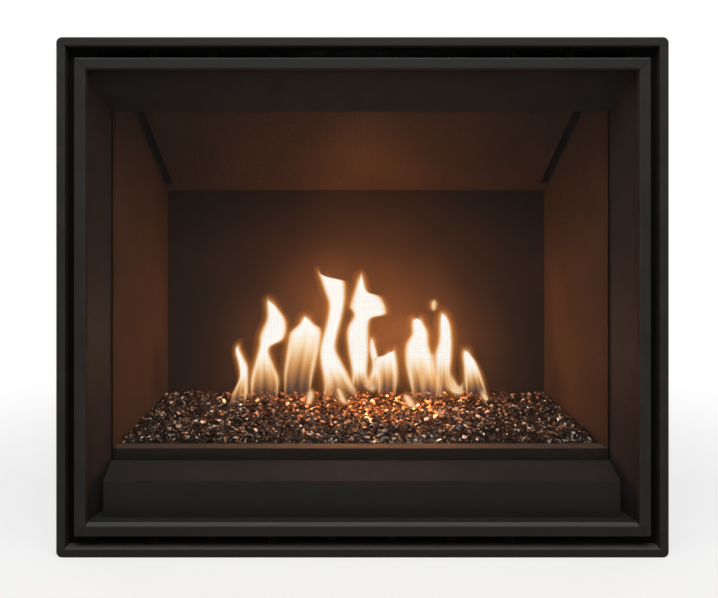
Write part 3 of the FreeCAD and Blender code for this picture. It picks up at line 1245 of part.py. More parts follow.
def burner_gas_pipe():
    """The pipe from the valve up through the firebox floor to the burner's orifice."""
    points = [at(VALVE_LEFT - VALVE_BOSS_LENGTH, GAS_LINE_DEPTH, GAS_LINE_Z),
              at(ORIFICE_X, GAS_LINE_DEPTH, GAS_LINE_Z),
              at(ORIFICE_X, VENTURI_DEPTH, GAS_LINE_Z),
              at(ORIFICE_X, VENTURI_DEPTH, VENTURI_Z)]
    pipe = bent_pipe(points, PIPE_RADIUS, PIPE_BEND)
    nut = hexagon(points[0], X_AXIS * -1.0, NUT_RADIUS, NUT_LENGTH)
    foot = at(ORIFICE_X, VENTURI_DEPTH, CHAMBER_FLOOR)
    fitting = hexagon(foot, Z_AXIS, FLOOR_FITTING_RADIUS, FLOOR_FITTING_HEIGHT)
    body = rod(at(ORIFICE_X - ORIFICE_BODY_RADIUS, VENTURI_DEPTH, VENTURI_Z), X_AXIS, ORIFICE_BODY_RADIUS,
               2.0 * ORIFICE_BODY_RADIUS)
    spud = rod(points[-1], X_AXIS, SPUD_RADIUS, VENTURI_END + SPUD_ENTRY - ORIFICE_X)
    return joined([pipe, nut, fitting, body, spud])


# Glass latches

def latch_ears(x):
    """Two ears and the pin between them."""
    reach = LATCH_WIDTH / 2.0 + LATCH_SIDE_GAP
    low, high = LATCH_PIVOT_Z - LATCH_EAR_HALF, LATCH_PIVOT_Z + LATCH_EAR_HALF
    front = LATCH_PIVOT_DEPTH - LATCH_EAR_HALF
    outside = x - reach - LATCH_EAR
    ears = [block(x0, x0 + LATCH_EAR, front, FIREBOX_FRONT, low, high) for x0 in (outside, x + reach)]
    start = at(outside, LATCH_PIVOT_DEPTH, LATCH_PIVOT_Z)
    return ears + [rod(start, X_AXIS, LATCH_PIN_RADIUS, 2.0 * (reach + LATCH_EAR))]


def glass_latch():
    """The right latch lever: a hub, an arm with a hook pad, and a finger handle."""
    x0, x1 = LATCH_X - LATCH_WIDTH / 2.0, LATCH_X + LATCH_WIDTH / 2.0
    half = LATCH_ARM / 2.0
    centre = at(x0, LATCH_PIVOT_DEPTH, LATCH_PIVOT_Z)
    hub = rod(centre, X_AXIS, LATCH_HUB_RADIUS, LATCH_WIDTH)
    arm = block(x0, x1, LATCH_PIVOT_DEPTH - half, LATCH_PIVOT_DEPTH + half, LATCH_PIVOT_Z, LATCH_HOOK_HIGH)
    hook = block(x0, x1, LATCH_PIVOT_DEPTH - half, GLASS_FRONT - SEAT_GAP, LATCH_HOOK_LOW, LATCH_HOOK_HIGH)
    tip = LATCH_PIVOT_DEPTH - LATCH_HANDLE
    handle = block(x0, x1, tip, LATCH_PIVOT_DEPTH, LATCH_PIVOT_Z - half, LATCH_PIVOT_Z + half)
    curl = rod(at(x0, tip, LATCH_PIVOT_Z), X_AXIS, LATCH_CURL_RADIUS, LATCH_WIDTH)
    bore = rod(centre, X_AXIS, LATCH_PIN_RADIUS + PIN_GAP, LATCH_WIDTH)
    return joined([hub, arm, hook, handle, curl]).cut(bore)


# Flue and combustion air

def collar(radius, base, top):
    start = at(0, FLUE_DEPTH, base)
    foot = hollow_rod(start, Z_AXIS, radius + COLLAR_FLANGE, COLLAR_FLANGE + COLLAR_WALL, COLLAR_WALL)
    return joined([foot, hollow_rod(start, Z_AXIS, radius, COLLAR_WALL, top - base)])


def combustion_air_duct():
    """A box round the flue on the roof that leads down behind the firebox."""
    ceiling = CASING_TOP - CASING_SHEET
    inside = DUCT_HALF - DUCT_SHEET
    inner_back = DUCT_BACK - DUCT_SHEET
    upper = block(-DUCT_HALF, DUCT_HALF, DUCT_FRONT, DUCT_BACK, ROOF_TOP, ceiling)
    upper = upper.cut(block(-inside, inside, DUCT_FRONT + DUCT_SHEET, inner_back, ROOF_TOP, ceiling))
    lower = block(-DUCT_HALF, DUCT_HALF, FIREBOX_BACK, DUCT_BACK, FLOOR_UNDERSIDE, ROOF_TOP)
    inner_low = FLOOR_UNDERSIDE + DUCT_SHEET
    lower = lower.cut(block(-inside, inside, FIREBOX_BACK, inner_back, inner_low, ROOF_TOP))
    return joined([upper, lower])


# Junction box and blower

def junction_box():
    x0, x1 = -CASING_INSIDE, BOX_REACH - CASING_INSIDE
    front, back = BOX_CENTRE_DEPTH - BOX_LENGTH / 2.0, BOX_CENTRE_DEPTH + BOX_LENGTH / 2.0
    top = BOX_LOW + BOX_HEIGHT
    wall = BRACKET_SHEET
    room = block(x0 + wall, x1, front + wall, back - wall, BOX_LOW + wall, top - wall)
    entry = rod(at(x0, BOX_CENTRE_DEPTH, BOX_CENTRE_Z), X_AXIS, KNOCKOUT_RADIUS, wall)
    shell = block(x0, x1, front, back, BOX_LOW, top).cut(room).cut(entry)
    cover = block(x1, x1 + wall, front, back, BOX_LOW, top)
    return group([shell, cover])


def blower_scroll():
    """The right scroll housing, with its mouth upwards at the back."""
    x0, x1 = SCROLL_X - SCROLL_WIDTH / 2.0, SCROLL_X + SCROLL_WIDTH / 2.0
    centre_line = at(x0, BLOWER_DEPTH, BLOWER_Z)
    skin = SCROLL_SHEET
    drum = rod(centre_line, X_AXIS, SCROLL_RADIUS, SCROLL_WIDTH)
    mouth_top = BLOWER_Z + SCROLL_MOUTH
    mouth = block(x0, x1, BLOWER_DEPTH, BLOWER_DEPTH + SCROLL_RADIUS, BLOWER_Z, mouth_top)
    foot = block(x0, x1, BLOWER_DEPTH - SCROLL_FOOT, BLOWER_DEPTH + SCROLL_FOOT, CASING_SHEET, BLOWER_Z)
    inside = SCROLL_RADIUS - skin
    room = rod(at(x0 + skin, BLOWER_DEPTH, BLOWER_Z), X_AXIS, inside, SCROLL_WIDTH - 2.0 * skin)
    mouth_room = block(x0 + skin, x1 - skin, BLOWER_DEPTH + skin, BLOWER_DEPTH + inside, BLOWER_Z, mouth_top)
    inlet = rod(centre_line, X_AXIS, SCROLL_INLET_RADIUS, SCROLL_WIDTH)
    return joined([drum, mouth, foot]).cut(room).cut(mouth_room).cut(inlet)


def blower_housings():
    right = blower_scroll()
    return group([right, mirrored(right)])


def blower_motor():
    start = at(-MOTOR_HALF, BLOWER_DEPTH, BLOWER_Z)
    barrel = rod(start, X_AXIS, MOTOR_RADIUS, 2.0 * MOTOR_HALF)
    foot = block(-MOTOR_FOOT_HALF, MOTOR_FOOT_HALF, BLOWER_DEPTH - SCROLL_FOOT, BLOWER_DEPTH + SCROLL_FOOT,
                 CASING_SHEET, BLOWER_Z - MOTOR_RADIUS / 2.0)
    return joined([barrel, foot]).cut(rod(start, X_AXIS, SHAFT_RADIUS + PIN_GAP, 2.0 * MOTOR_HALF))


def blower_wheel():
    """The right wheel: end rings, blades and the middle disc."""
    x0, x1 = SCROLL_X - WHEEL_WIDTH / 2.0, SCROLL_X + WHEEL_WIDTH / 2.0
    inner = WHEEL_RADIUS - WHEEL_RING
    rings = [hollow_rod(at(x, BLOWER_DEPTH, BLOWER_Z), X_AXIS, WHEEL_RADIUS, WHEEL_RING, BLADE_THICKNESS)
             for x in (x0, x1 - BLADE_THICKNESS)]
    disc = rod(at(SCROLL_X - WHEEL_DISC / 2.0, BLOWER_DEPTH, BLOWER_Z), X_AXIS, WHEEL_RADIUS, WHEEL_DISC)
    bite = BLADE_THICKNESS / 2.0
    blade = block(x0 + bite, x1 - bite, BLOWER_DEPTH - bite, BLOWER_DEPTH + bite,
                  BLOWER_Z + inner + bite, BLOWER_Z + WHEEL_RADIUS - bite)
    blades = []
    for index in range(WHEEL_BLADES):
        turned = blade.copy()
        turned.rotate(at(0, BLOWER_DEPTH, BLOWER_Z), X_AXIS, 360.0 * index / WHEEL_BLADES)
        blades.append(turned)
    return [disc] + rings + blades


def blower_rotor():
    reach = SCROLL_X + WHEEL_DISC / 2.0 + SHAFT_END_SPARE
    shaft = rod(at(-reach, BLOWER_DEPTH, BLOWER_Z), X_AXIS, SHAFT_RADIUS, 2.0 * reach)
    wheel = joined(blower_wheel())
    return joined([shaft, wheel, mirrored(wheel)])


def all_pieces():
    screws = casing_screws()
    side_liner = liner_side()
    side_reveal = reveal_side()
    latch = glass_latch()
    pieces = {
        "casing_base": casing_base(screws),
        "casing_left_side": casing_left_side(screws),
        "casing_right_side": casing_right_side(screws),
        "casing_back": casing_back(screws),
        "casing_top": casing_top(screws),
        "casing_screws": screws,
        "header_standoffs": header_standoffs(),
        "face_flange": face_flange(),
        "screen_mesh": screen_mesh(),
        "screen_clips": screen_clips(),
        "reveal_top": reveal_top(),
        "reveal_left": mirrored(side_reveal),
        "reveal_right": side_reveal,
        "access_panel": access_panel(),
        "glass_frame": glass_frame(),
        "glass_pane": glass_pane(),
        "glass_gasket": glass_gasket(),
        "firebox_front_flange": firebox_front_flange(),
        "firebox_wrap": firebox_wrap(),
        "firebox_floor": firebox_floor(),
        "firebox_roof": firebox_roof(),
        "firebox_supports": firebox_supports(),
        "liner_left": mirrored(side_liner),
        "liner_right": side_liner,
        "liner_back": liner_back(),
        "heat_baffle": heat_baffle(),
        "relief_flap": relief_flap(),
        "flue_restrictor": flue_restrictor(),
        "media_tray": media_tray(),
        "crushed_glass_bed": crushed_glass_bed(),
        "burner_pan": burner_pan(),
        "air_shutter": air_shutter(),
        "pilot_assembly": pilot_assembly(),
        "gas_valve_body": gas_valve_body(),
        "control_panel": control_panel(),
        "control_knob": knob(MAIN_KNOB_X, MAIN_KNOB_RADIUS, MAIN_KNOB_LENGTH),
        "flame_knob": knob(FLAME_KNOB_X, FLAME_KNOB_RADIUS, FLAME_KNOB_LENGTH),
        "igniter_body": igniter_body(),
        "igniter_button": igniter_button(),
        "gas_supply_pipe": gas_supply_pipe(),
        "shutoff_valve_body": shutoff_valve_body(),
        "shutoff_lever": shutoff_lever(),
        "burner_gas_pipe": burner_gas_pipe(),
        "glass_latch_left": mirrored(latch),
        "glass_latch_right": latch,
        "exhaust_collar": collar(EXHAUST_RADIUS, ROOF_TOP, EXHAUST_COLLAR_TOP),
        "intake_collar": collar(INTAKE_RADIUS, CASING_TOP, INTAKE_COLLAR_TOP),
        "combustion_air_duct": combustion_air_duct(),
        "junction_box": junction_box(),
        "blower_housings": blower_housings(),
        "blower_motor": blower_motor(),
        "blower_rotor": blower_rotor(),
    }
    pieces.update(rim_pieces())
    pieces.update(screen_rails())
    return pieces


os.makedirs("parts", exist_ok=True)
for name, shape in all_pieces().items():
    shape.exportStep(os.path.join("parts", name + ".step"))
    if not shape.isValid():
        print("not a sound solid:", name)
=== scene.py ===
import json
import math
import random

import bmesh
import bpy
import numpy as np
from mathutils import Matrix, Vector

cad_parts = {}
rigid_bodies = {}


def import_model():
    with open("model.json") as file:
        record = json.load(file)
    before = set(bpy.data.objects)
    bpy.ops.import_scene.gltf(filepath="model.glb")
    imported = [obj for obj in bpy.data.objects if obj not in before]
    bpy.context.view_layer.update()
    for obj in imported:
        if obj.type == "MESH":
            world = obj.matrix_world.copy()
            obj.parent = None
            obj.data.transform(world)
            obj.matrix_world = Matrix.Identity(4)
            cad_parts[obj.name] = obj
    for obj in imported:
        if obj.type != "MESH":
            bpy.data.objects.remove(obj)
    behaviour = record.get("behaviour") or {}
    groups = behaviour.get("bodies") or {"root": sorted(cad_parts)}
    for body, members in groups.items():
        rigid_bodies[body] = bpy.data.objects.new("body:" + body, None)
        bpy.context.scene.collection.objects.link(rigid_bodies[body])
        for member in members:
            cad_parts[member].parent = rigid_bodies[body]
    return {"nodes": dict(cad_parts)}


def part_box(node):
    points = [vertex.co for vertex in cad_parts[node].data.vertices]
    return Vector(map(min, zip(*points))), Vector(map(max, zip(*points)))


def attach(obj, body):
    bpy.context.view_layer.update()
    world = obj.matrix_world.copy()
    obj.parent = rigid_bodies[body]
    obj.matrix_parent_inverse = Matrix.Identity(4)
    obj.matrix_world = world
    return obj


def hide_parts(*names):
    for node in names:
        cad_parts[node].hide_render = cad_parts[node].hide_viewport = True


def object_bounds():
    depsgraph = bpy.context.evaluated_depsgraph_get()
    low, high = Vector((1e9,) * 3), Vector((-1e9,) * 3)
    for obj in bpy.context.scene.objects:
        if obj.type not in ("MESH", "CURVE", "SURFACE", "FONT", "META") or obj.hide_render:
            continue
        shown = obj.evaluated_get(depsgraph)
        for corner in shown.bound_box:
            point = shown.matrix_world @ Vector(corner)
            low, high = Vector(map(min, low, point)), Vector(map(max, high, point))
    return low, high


for leftover in list(bpy.data.objects):
    bpy.data.objects.remove(leftover, do_unlink=True)

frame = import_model()
nodes = frame["nodes"]
cad_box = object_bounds()
front_y = cad_box[0].y

MM = 0.001
NOISE_ROUGHNESS = 0.55
rng = random.Random(7)

# The photograph's view: level and face-on, from a point left of the middle.
PHOTO_WIDTH = 718
PHOTO_HEIGHT = 598
VANISHING_X = 335
VANISHING_Y = 195
FOCAL_PIXELS = 953
EYE_SIDE = -0.0433
EYE_DISTANCE = 1.5
EYE_HEIGHT = 0.5712
SENSOR = 36.0

# Woven wire of the screen.
WIRE_PITCH = 2.8 * MM
WIRE_THICK = 0.16 * MM

# Crushed glass on the burner. Shares are of a chip's size, or of the grid's pitch for the shake.
CHIP_SHAPES = 16
CHIP_CORNERS = (8, 11)
CHIP_RADIUS = (0.38, 0.5)
CHIP_FLATNESS = (0.3, 0.55)
CHIP_SHAKE = 0.4
CHIP_LIFT = (0.05, 0.3)
CHIP_DROP = 7.0 * MM
CHIP_PITCH = 6.0 * MM
CHIP_SMALL = 6.0 * MM
CHIP_LARGE = 14.0 * MM
CHIP_TILT = math.radians(24)
COPPER_SHARE = 0.24
# Pale chips are real pale glass, and their bright colour also serves as painted glints.
PALE_SHARE = 0.024

# Liners: soot that thickens up to the baffle, painted shade wholly above the baffle, and a painted shadow along
# the side liners' front edge, by the seal.
SOOT_REACH = 250.0 * MM
SOOT_SHARE = 0.5
SOOT_END = 0.985
BACK_SOOT_REACH = 150.0 * MM
BACK_SOOT_SHARE = 0.45
FRONT_SHADE_WIDTH = 9.0 * MM
FRONT_SHADE_EDGE = 3.0 * MM

# Flames: rings along each tongue and points round each ring, then how thick, blunt and wavy a tongue is. Parts of
# its length run from 0 at the foot to 1 at the tip.
FLAME_RINGS = 44
FLAME_SIDES = 24
FLAME_FLATNESS = 0.4
FLAME_INSET = -0.5 * MM
FLAME_LEAST_HALF = 0.3 * MM
FLAME_LEAST_SKIN = 0.2 * MM
FLAME_BLUNT_FROM = 0.93
FLAME_BLUNT_LEAST = 0.02
FLAME_LIFT_FROM = 0.85
FLAME_SWAY = 6.0 * MM
FLAME_SWAY_ANGLE = 4.0
SKIN_EDGE_FROM = 0.75
SKIN_RISE = (0.2, 0.8)
FLAME_EDGE_HEAT = 0.24
FLAME_STREAKS = 9.0
FLAME_STREAK_HEAT = 0.14
FLAME_FOOT_CALM = 5.0
FLAME_TIP_CALM = 0.6
FLAME_FOOT = 0.1
FLAME_LEAN = 38.0 * MM
BRIDGE_FOOT = 0.35
BRIDGE_HEAT = 0.5

# White-hot gas from a flame's foot to where it is fully white: share of that height, colour and cover.
FLAME_CORE = (
    (0.0, (0.24, 0.16, 0.16), 0.09),
    (0.12, (0.40, 0.23, 0.15), 0.2),
    (0.32, (0.76, 0.34, 0.12), 0.38),
    (0.52, (1.08, 0.57, 0.22), 0.56),
    (0.75, (1.20, 0.93, 0.62), 0.75),
    (1.0, (1.16, 1.13, 1.09), 0.94),
)

# Skins of glow round a flame: how far out, colour and cover.
FLAME_SKINS = (
    (1.5 * MM, (1.15, 0.86, 0.54), 0.45),
    (3.5 * MM, (1.05, 0.55, 0.20), 0.30),
    (7.0 * MM, (0.95, 0.38, 0.09), 0.13),
    (13.0 * MM, (0.75, 0.26, 0.05), 0.07),
)

# Each tongue: how far it stands behind the rim's front, how high it is clear before it is white (0 for a bridge
# or a loose lick, which fades at both ends), then its left and right edge from base to tip, as (left x, left z,
# right x, right z), in millimetres.
FLAMES = {
    "flame_far_left": (392, 60, (
        (-252, 154, -217, 163), (-244, 179, -216, 199), (-231, 211, -217, 230), (-234, 240, -226, 249),
        (-239, 258, -233, 264), (-238, 272, -236, 273),
    )),
    "flame_left": (396, 85, (
        (-209, 165, -155, 165), (-206, 210, -155, 210), (-200, 237, -166, 237), (-191, 271, -175, 269),
        (-189, 294, -147, 287), (-177, 324, -143, 318), (-177, 346, -157, 342), (-178, 362, -176, 363),
    )),
    "flame_left_middle": (390, 125, (
        (-142, 168, -91, 171), (-142, 215, -88, 215), (-137, 254, -80, 254), (-132, 291, -73, 287),
        (-128, 300, -74, 304), (-113, 314, -87, 315), (-104, 331, -102, 331),
    )),
    "flame_tall_left": (394, 70, (
        (-70, 157, 3, 178), (-62, 198, -10, 200), (-70, 242, -32, 242), (-71, 271, -44, 269),
        (-62, 303, -40, 297), (-55, 334, -32, 328), (-54, 358, -26, 361), (-63, 385, -26, 390),
        (-70, 406, -30, 402), (-73, 414, -54, 406), (-74, 416, -71, 413),
    )),
    "flame_tall_right": (397, 40, (
        (-12, 186, 43, 188), (-8, 221, 19, 210), (-15, 265, 21, 265), (-17, 304, 21, 306),
        (-4, 332, 27, 327), (-11, 348, 56, 336), (-7, 365, 45, 367), (0, 387, 19, 380), (8, 413, 11, 413),
    )),
    "flame_small_middle": (388, 40, (
        (14, 188, 45, 184), (31, 231, 44, 223), (25, 266, 40, 251), (28, 287, 31, 288),
    )),
    "flame_low_middle": (391, 70, (
        (40, 172, 75, 173), (39, 211, 78, 211), (36, 246, 78, 238), (52, 253, 75, 258), (68, 262, 71, 263),
    )),
    "flame_right": (395, 80, (
        (109, 169, 166, 171), (103, 210, 161, 208), (97, 245, 149, 245), (99, 275, 140, 275),
        (111, 296, 139, 298), (111, 314, 132, 314), (114, 325, 125, 326),
    )),
    "flame_right_stem": (391, 75, (
        (151, 168, 184, 187), (156, 211, 180, 223), (155, 254, 184, 254), (164, 285, 186, 285),
        (166, 317, 183, 317), (169, 337, 172, 337),
    )),
    "flame_saddle": (393, 55, (
        (125, 172, 165, 172), (127, 205, 163, 205), (130, 235, 160, 235), (139, 256, 151, 257),
    )),
    "flame_link": (389, 0, (
        (170, 211, 184, 223), (184, 186, 193, 203), (201, 178, 203, 192), (216, 182, 213, 207),
    )),
    "flame_far_right": (387, 50, (
        (210, 182, 253, 179), (212, 223, 245, 208), (211, 253, 235, 239), (215, 263, 217, 264),
    )),
    "flame_far_right_foot": (385, 0, (
        (239, 190, 247, 195), (256, 160, 259, 168), (270, 145, 271, 147),
    )),
    "flame_wisp": (392, 0, (
        (152, 338, 153, 338), (149, 348, 155, 347), (149, 358, 156, 357), (153, 366, 154, 366),
    )),
    "flame_bowl": (392, 0, (
        (18, 213, 22, 216), (15, 197, 23, 207), (29, 185, 29, 200), (44, 191, 38, 207),
    )),
    "flame_lick_right": (340, 0, (
        (112, 157, 115, 157), (100, 164, 108, 169), (91, 180, 98, 183), (89, 189, 90, 190),
    )),
    "flame_lick_middle": (340, 0, (
        (-21, 163, -19, 164), (-32, 175, -25, 177), (-38, 193, -32, 194), (-41, 201, -39, 202),
    )),
    "flame_lick_left": (342, 0, (
        (-97, 164, -94, 164), (-96, 181, -86, 182), (-91, 197, -89, 198),
    )),
}

# Lamps that stand for the light of the flames: x, distance behind the rim's front, height, power in watts.
FIRE_LAMPS = (
    (-225, 395, 220, 0.2), (-175, 395, 280, 0.75), (-105, 395, 270, 1.0), (-48, 390, 355, 2.4),
    (12, 390, 375, 2.9), (60, 395, 275, 1.7), (125, 395, 280, 1.8), (175, 395, 280, 1.1),
    (225, 395, 220, 0.3), (10, 290, 535, 1.5), (-95, 360, 265, 1.35), (115, 360, 265, 1.35),
    (-85, 345, 205, 0.8), (20, 325, 205, 2.1), (115, 340, 205, 1.5),
)
FIRE_COLOUR = (1.0, 0.30, 0.065)
FIRE_LAMP_RADIUS = 30.0 * MM

# Studio: lamps as (name, place, power in watts, colour, width) and the white that is seen but lights nothing.
STUDIO_LAMPS = (
    ("key_lamp", (0.0, -1.05, 1.85), 38.0, (1.0, 0.985, 0.96), 1.4),
    ("left_lamp", (-3.0, 2.0, 2.2), 45.0, (1, 1, 1), 2.0),
    ("right_lamp", (3.0, 2.0, 2.2), 45.0, (1, 1, 1), 2.0),
)
LAMP_AIM = (0, 0, 0.45)
WORLD_STRENGTH = 0.18
FLOOR_HALF = 9.0
FLOOR_COLOUR = (0.6, 0.6, 0.6, 1)
FLOOR_FADE_START = 0.5
FLOOR_FADE_END = 1.6
FLOOR_NEAR_WHITE = 0.72
TRANSPARENT_BOUNCES = 48


def grey(level):
    """A grey as red, green, blue."""
    return (level, level, level)


def math_node(tree, operation, *sources):
    """The result of a math node whose inputs are linked in order."""
    new = tree.nodes.new("ShaderNodeMath")
    new.operation = operation
    for entry, source in zip(new.inputs, sources):
        tree.links.new(source, entry)
    return new.outputs["Value"]


def end_in_mix(tree, end, share, first, second):
    """Ends a node tree in a mix of two shaders."""
    mixed = tree.nodes.new("ShaderNodeMixShader")
    for entry, source in zip(mixed.inputs, (share, first.outputs[0], second.outputs[0])):
        tree.links.new(source, entry)
    tree.links.new(mixed.outputs[0], end.inputs["Surface"])


class Look:
    """A new material with one Principled shader, and short calls that add texture nodes to it."""

    def __init__(self, name, **numbers):
        self.material = bpy.data.materials.new(name)
        self.material.use_nodes = True
        self.tree = self.material.node_tree
        self.shader = self.tree.nodes["Principled BSDF"]
        for socket, value in numbers.items():
            self.shader.inputs[socket.replace("_", " ")].default_value = value
        self.place = self.add("ShaderNodeTexCoord").outputs["Object"]

    def add(self, kind, **inputs):
        """A node of this kind, with its inputs linked or set."""
        new = self.tree.nodes.new(kind)
        for socket, value in inputs.items():
            entry = new.inputs[socket.replace("_", " ")]
            if isinstance(value, bpy.types.NodeSocket):
                self.tree.links.new(value, entry)
            else:
                entry.default_value = value
        return new

    def stretched(self, stretch):
        """The object's own coordinates, scaled along each axis."""
        return self.add("ShaderNodeMapping", Vector=self.place, Scale=stretch).outputs["Vector"]

    def along(self, axis):
        """The object's own coordinate on one axis, in metres."""
        return self.add("ShaderNodeSeparateXYZ", Vector=self.place).outputs[axis]

    def noise(self, scale, detail=4.0, stretch=(1, 1, 1)):
        """Cloudy noise, about scale blobs to the metre."""
        return self.add("ShaderNodeTexNoise", Vector=self.stretched(stretch), Scale=scale, Detail=detail,
                        Roughness=NOISE_ROUGHNESS).outputs["Fac"]

    def cells(self, scale, output="Color", stretch=(1, 1, 1)):
        """Voronoi cells: a random colour for each, or the distance to its middle."""
        return self.add("ShaderNodeTexVoronoi", Vector=self.stretched(stretch), Scale=scale).outputs[output]

    def ramp(self, factor, *stops):
        """Colours at positions from 0 to 1, read at factor."""
        new = self.add("ShaderNodeValToRGB", Fac=factor)
        elements = new.color_ramp.elements
        while len(elements) < len(stops):
            elements.new(0.5)
        for element, (position, colour) in zip(elements, stops):
            element.position = position
            element.color = (*colour, 1.0)
        return new.outputs["Color"]

    def mottled(self, noise, tones):
        """From a dark tone to a light one over the middle of a noise's range."""
        return self.ramp(noise, (0.3, tones[0]), (0.7, tones[1]))

    def set(self, socket, output):
        """Drives a socket of the shader by a texture."""
        self.tree.links.new(output, self.shader.inputs[socket])

    def roughen(self, noise, low, high):
        """Roughness that varies between two values with a noise."""
        self.set("Roughness", self.ramp(noise, (0.25, grey(low)), (0.75, grey(high))))

    def bump(self, height, strength, distance):
        """Small relief from a texture."""
        new = self.add("ShaderNodeBump", Height=height, Strength=strength, Distance=distance)
        self.set("Normal", new.outputs["Normal"])


def paint(name, tones, rough, grain, mottle, specular):
    """Heat-proof black paint: a cloudy colour and a fine sprayed grain."""
    look = Look(name, Specular_IOR_Level=specular)
    look.set("Base Color", look.mottled(look.noise(mottle, detail=6.0), tones))
    relief = look.noise(grain, detail=3.0)
    look.roughen(relief, *rough)
    look.bump(relief, strength=0.22, distance=0.15 * MM)
    return look.material


def two_tone(name, share_of, first, second, grain):
    """Matt paint that goes from one pair of tones to another by a share that share_of makes from nodes. Below it
    lays soot and painted shade on the liners, painted shade on the recess shelf's upright faces, and painted
    light on the upward faces of the rails and the tray.
    """
    look = Look(name, Specular_IOR_Level=0.06)
    relief = look.noise(grain, detail=5.0)
    blend = look.add("ShaderNodeMix")
    blend.data_type = "RGBA"
    sockets = {entry.identifier: entry for entry in (*blend.inputs, *blend.outputs)}
    sources = {"Factor_Float": share_of(look), "A_Color": look.mottled(relief, first),
               "B_Color": look.mottled(relief, second)}
    for identifier, source in sources.items():
        look.tree.links.new(source, sockets[identifier])
    look.set("Base Color", sockets["Result_Color"])
    look.roughen(relief, 0.6, 0.78)
    look.bump(relief, strength=0.2, distance=0.15 * MM)
    return look.material


def looking_up(look):
    """1 on a face that looks straight up and 0 on an upright one."""
    normal = look.add("ShaderNodeNewGeometry").outputs["Normal"]
    return look.add("ShaderNodeSeparateXYZ", Vector=normal).outputs["Z"]


def blackened(look):
    """How black a side liner is: soot thickening towards the baffle, painted shade wholly above it, and a painted
    shadow along its front edge, by the seal.
    """
    low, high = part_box("heat_baffle")
    slope = (high.z - low.z) / (high.y - low.y)
    rise = look.add("ShaderNodeVectorMath")
    rise.operation = "DOT_PRODUCT"
    look.tree.links.new(look.place, rise.inputs[0])
    rise.inputs[1].default_value = (0, slope, 1)
    line = high.z + slope * low.y
    near = look.add("ShaderNodeMapRange", Value=rise.outputs["Value"], From_Min=line - SOOT_REACH, From_Max=line)
    # Soot up to SOOT_END, then painted shade, wholly black, above the baffle.
    over = look.ramp(near.outputs["Result"], (0.0, grey(0.0)), (SOOT_END, grey(SOOT_SHARE)), (1.0, grey(1.0)))
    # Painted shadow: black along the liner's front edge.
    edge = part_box("liner_left")[0].y + FRONT_SHADE_WIDTH
    front_shade = look.add("ShaderNodeMapRange", Value=look.along("Y"), From_Min=edge, From_Max=edge - FRONT_SHADE_EDGE)
    return math_node(look.tree, "MAXIMUM", over, front_shade.outputs["Result"])


def smoked(look):
    """0 on most of the back liner, rising to BACK_SOOT_SHARE at its top edge."""
    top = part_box("liner_back")[1].z
    near = look.add("ShaderNodeMapRange", Value=look.along("Z"), From_Min=top - BACK_SOOT_REACH, From_Max=top,
                    To_Max=BACK_SOOT_SHARE)
    return near.outputs["Result"]


def spangled(name, tones, scale, rough, metallic):
    """Coated sheet steel with crystal spangles."""
    dark, light = tones
    look = Look(name, Metallic=metallic)
    cell = look.add("ShaderNodeSeparateColor", Color=look.cells(scale)).outputs["Red"]
    look.set("Base Color", look.ramp(cell, (0.0, dark), (0.55, light), (1.0, dark)))
    look.set("Roughness", look.mottled(look.noise(scale * 0.3, detail=5.0), [grey(level) for level in rough]))
    look.bump(look.noise(scale * 8.0, detail=2.0), strength=0.08, distance=0.1 * MM)
    return look.material


def metal(name, tones, scale, rough, relief, stretch=(1, 1, 1)):
    """Bare metal with a brushed or cast grain along one axis, rougher where it is dark."""
    look = Look(name, Metallic=1.0)
    grain = look.noise(scale, detail=5.0, stretch=stretch)
    look.set("Base Color", look.mottled(grain, tones))
    look.set("Roughness", look.mottled(grain, [grey(level) for level in reversed(rough)]))
    look.bump(grain, strength=relief, distance=0.1 * MM)
    return look.material


def moulded(name, tones):
    """Moulded plastic or enamel with a fine leathery grain."""
    look = Look(name)
    look.set("Base Color", look.mottled(look.noise(300.0), tones))
    grain = look.cells(1800.0, "Distance")
    look.set("Roughness", look.ramp(grain, (0.0, grey(0.35)), (0.6, grey(0.5))))
    look.bump(grain, strength=0.15, distance=0.1 * MM)
    return look.material


def clear_glass(name):
    """Clear heat-proof glass: nearly all light goes through, with a faint gloss that grows at a slant."""
    look = Look(name)
    look.tree.nodes.remove(look.shader)
    film = look.mottled(look.noise(6.0, detail=5.0), ((0.97, 0.96, 0.94), (0.99, 0.985, 0.97)))
    through = look.add("ShaderNodeBsdfTransparent", Color=film)
    gloss = look.add("ShaderNodeBsdfGlossy", Roughness=0.03)
    fresnel = look.add("ShaderNodeFresnel", IOR=1.1)
    end_in_mix(look.tree, look.tree.nodes["Material Output"], fresnel.outputs["Fac"], through, gloss)
    return look.material


def rope(name):
    """Braided glass-fibre rope."""
    look = Look(name, Roughness=0.9)
    strands = look.cells(700.0, "Distance", stretch=(1, 1, 0.5))
    look.set("Base Color", look.ramp(strands, (0.0, grey(0.22)), (0.5, grey(0.10))))
    look.bump(strands, strength=0.8, distance=0.5 * MM)
    return look.material


def chip_glass(name, tones, metallic, roughness, specular=0.5):
    """Broken glass: each chip a little different, with smooth facets."""
    dark, light = tones
    look = Look(name, Metallic=metallic, Roughness=roughness, Specular_IOR_Level=specular)
    shade = look.add("ShaderNodeSeparateColor", Color=look.cells(110.0)).outputs["Green"]
    look.set("Base Color", look.ramp(shade, (0.1, dark), (0.9, light)))
    look.bump(look.noise(900.0, detail=2.0), strength=0.1, distance=0.2 * MM)
    return look.material


def fire_gas(name):
    """Glowing gas: colour and cover come from the mesh, broken by rising streaks."""
    look = Look(name, Base_Color=(0, 0, 0, 1), Specular_IOR_Level=0.0, Emission_Strength=1.0)
    gas = look.add("ShaderNodeVertexColor")
    gas.layer_name = "gas"
    look.set("Emission Color", gas.outputs["Color"])
    streak = look.noise(90.0, detail=3.0, stretch=(1.0, 1.0, 0.2))
    thick = look.ramp(streak, (0.3, grey(0.85)), (0.65, grey(1.0)))
    look.set("Alpha", math_node(look.tree, "MULTIPLY", gas.outputs["Alpha"], thick))
    look.material.cycles.emission_sampling = "NONE"
    return look.material


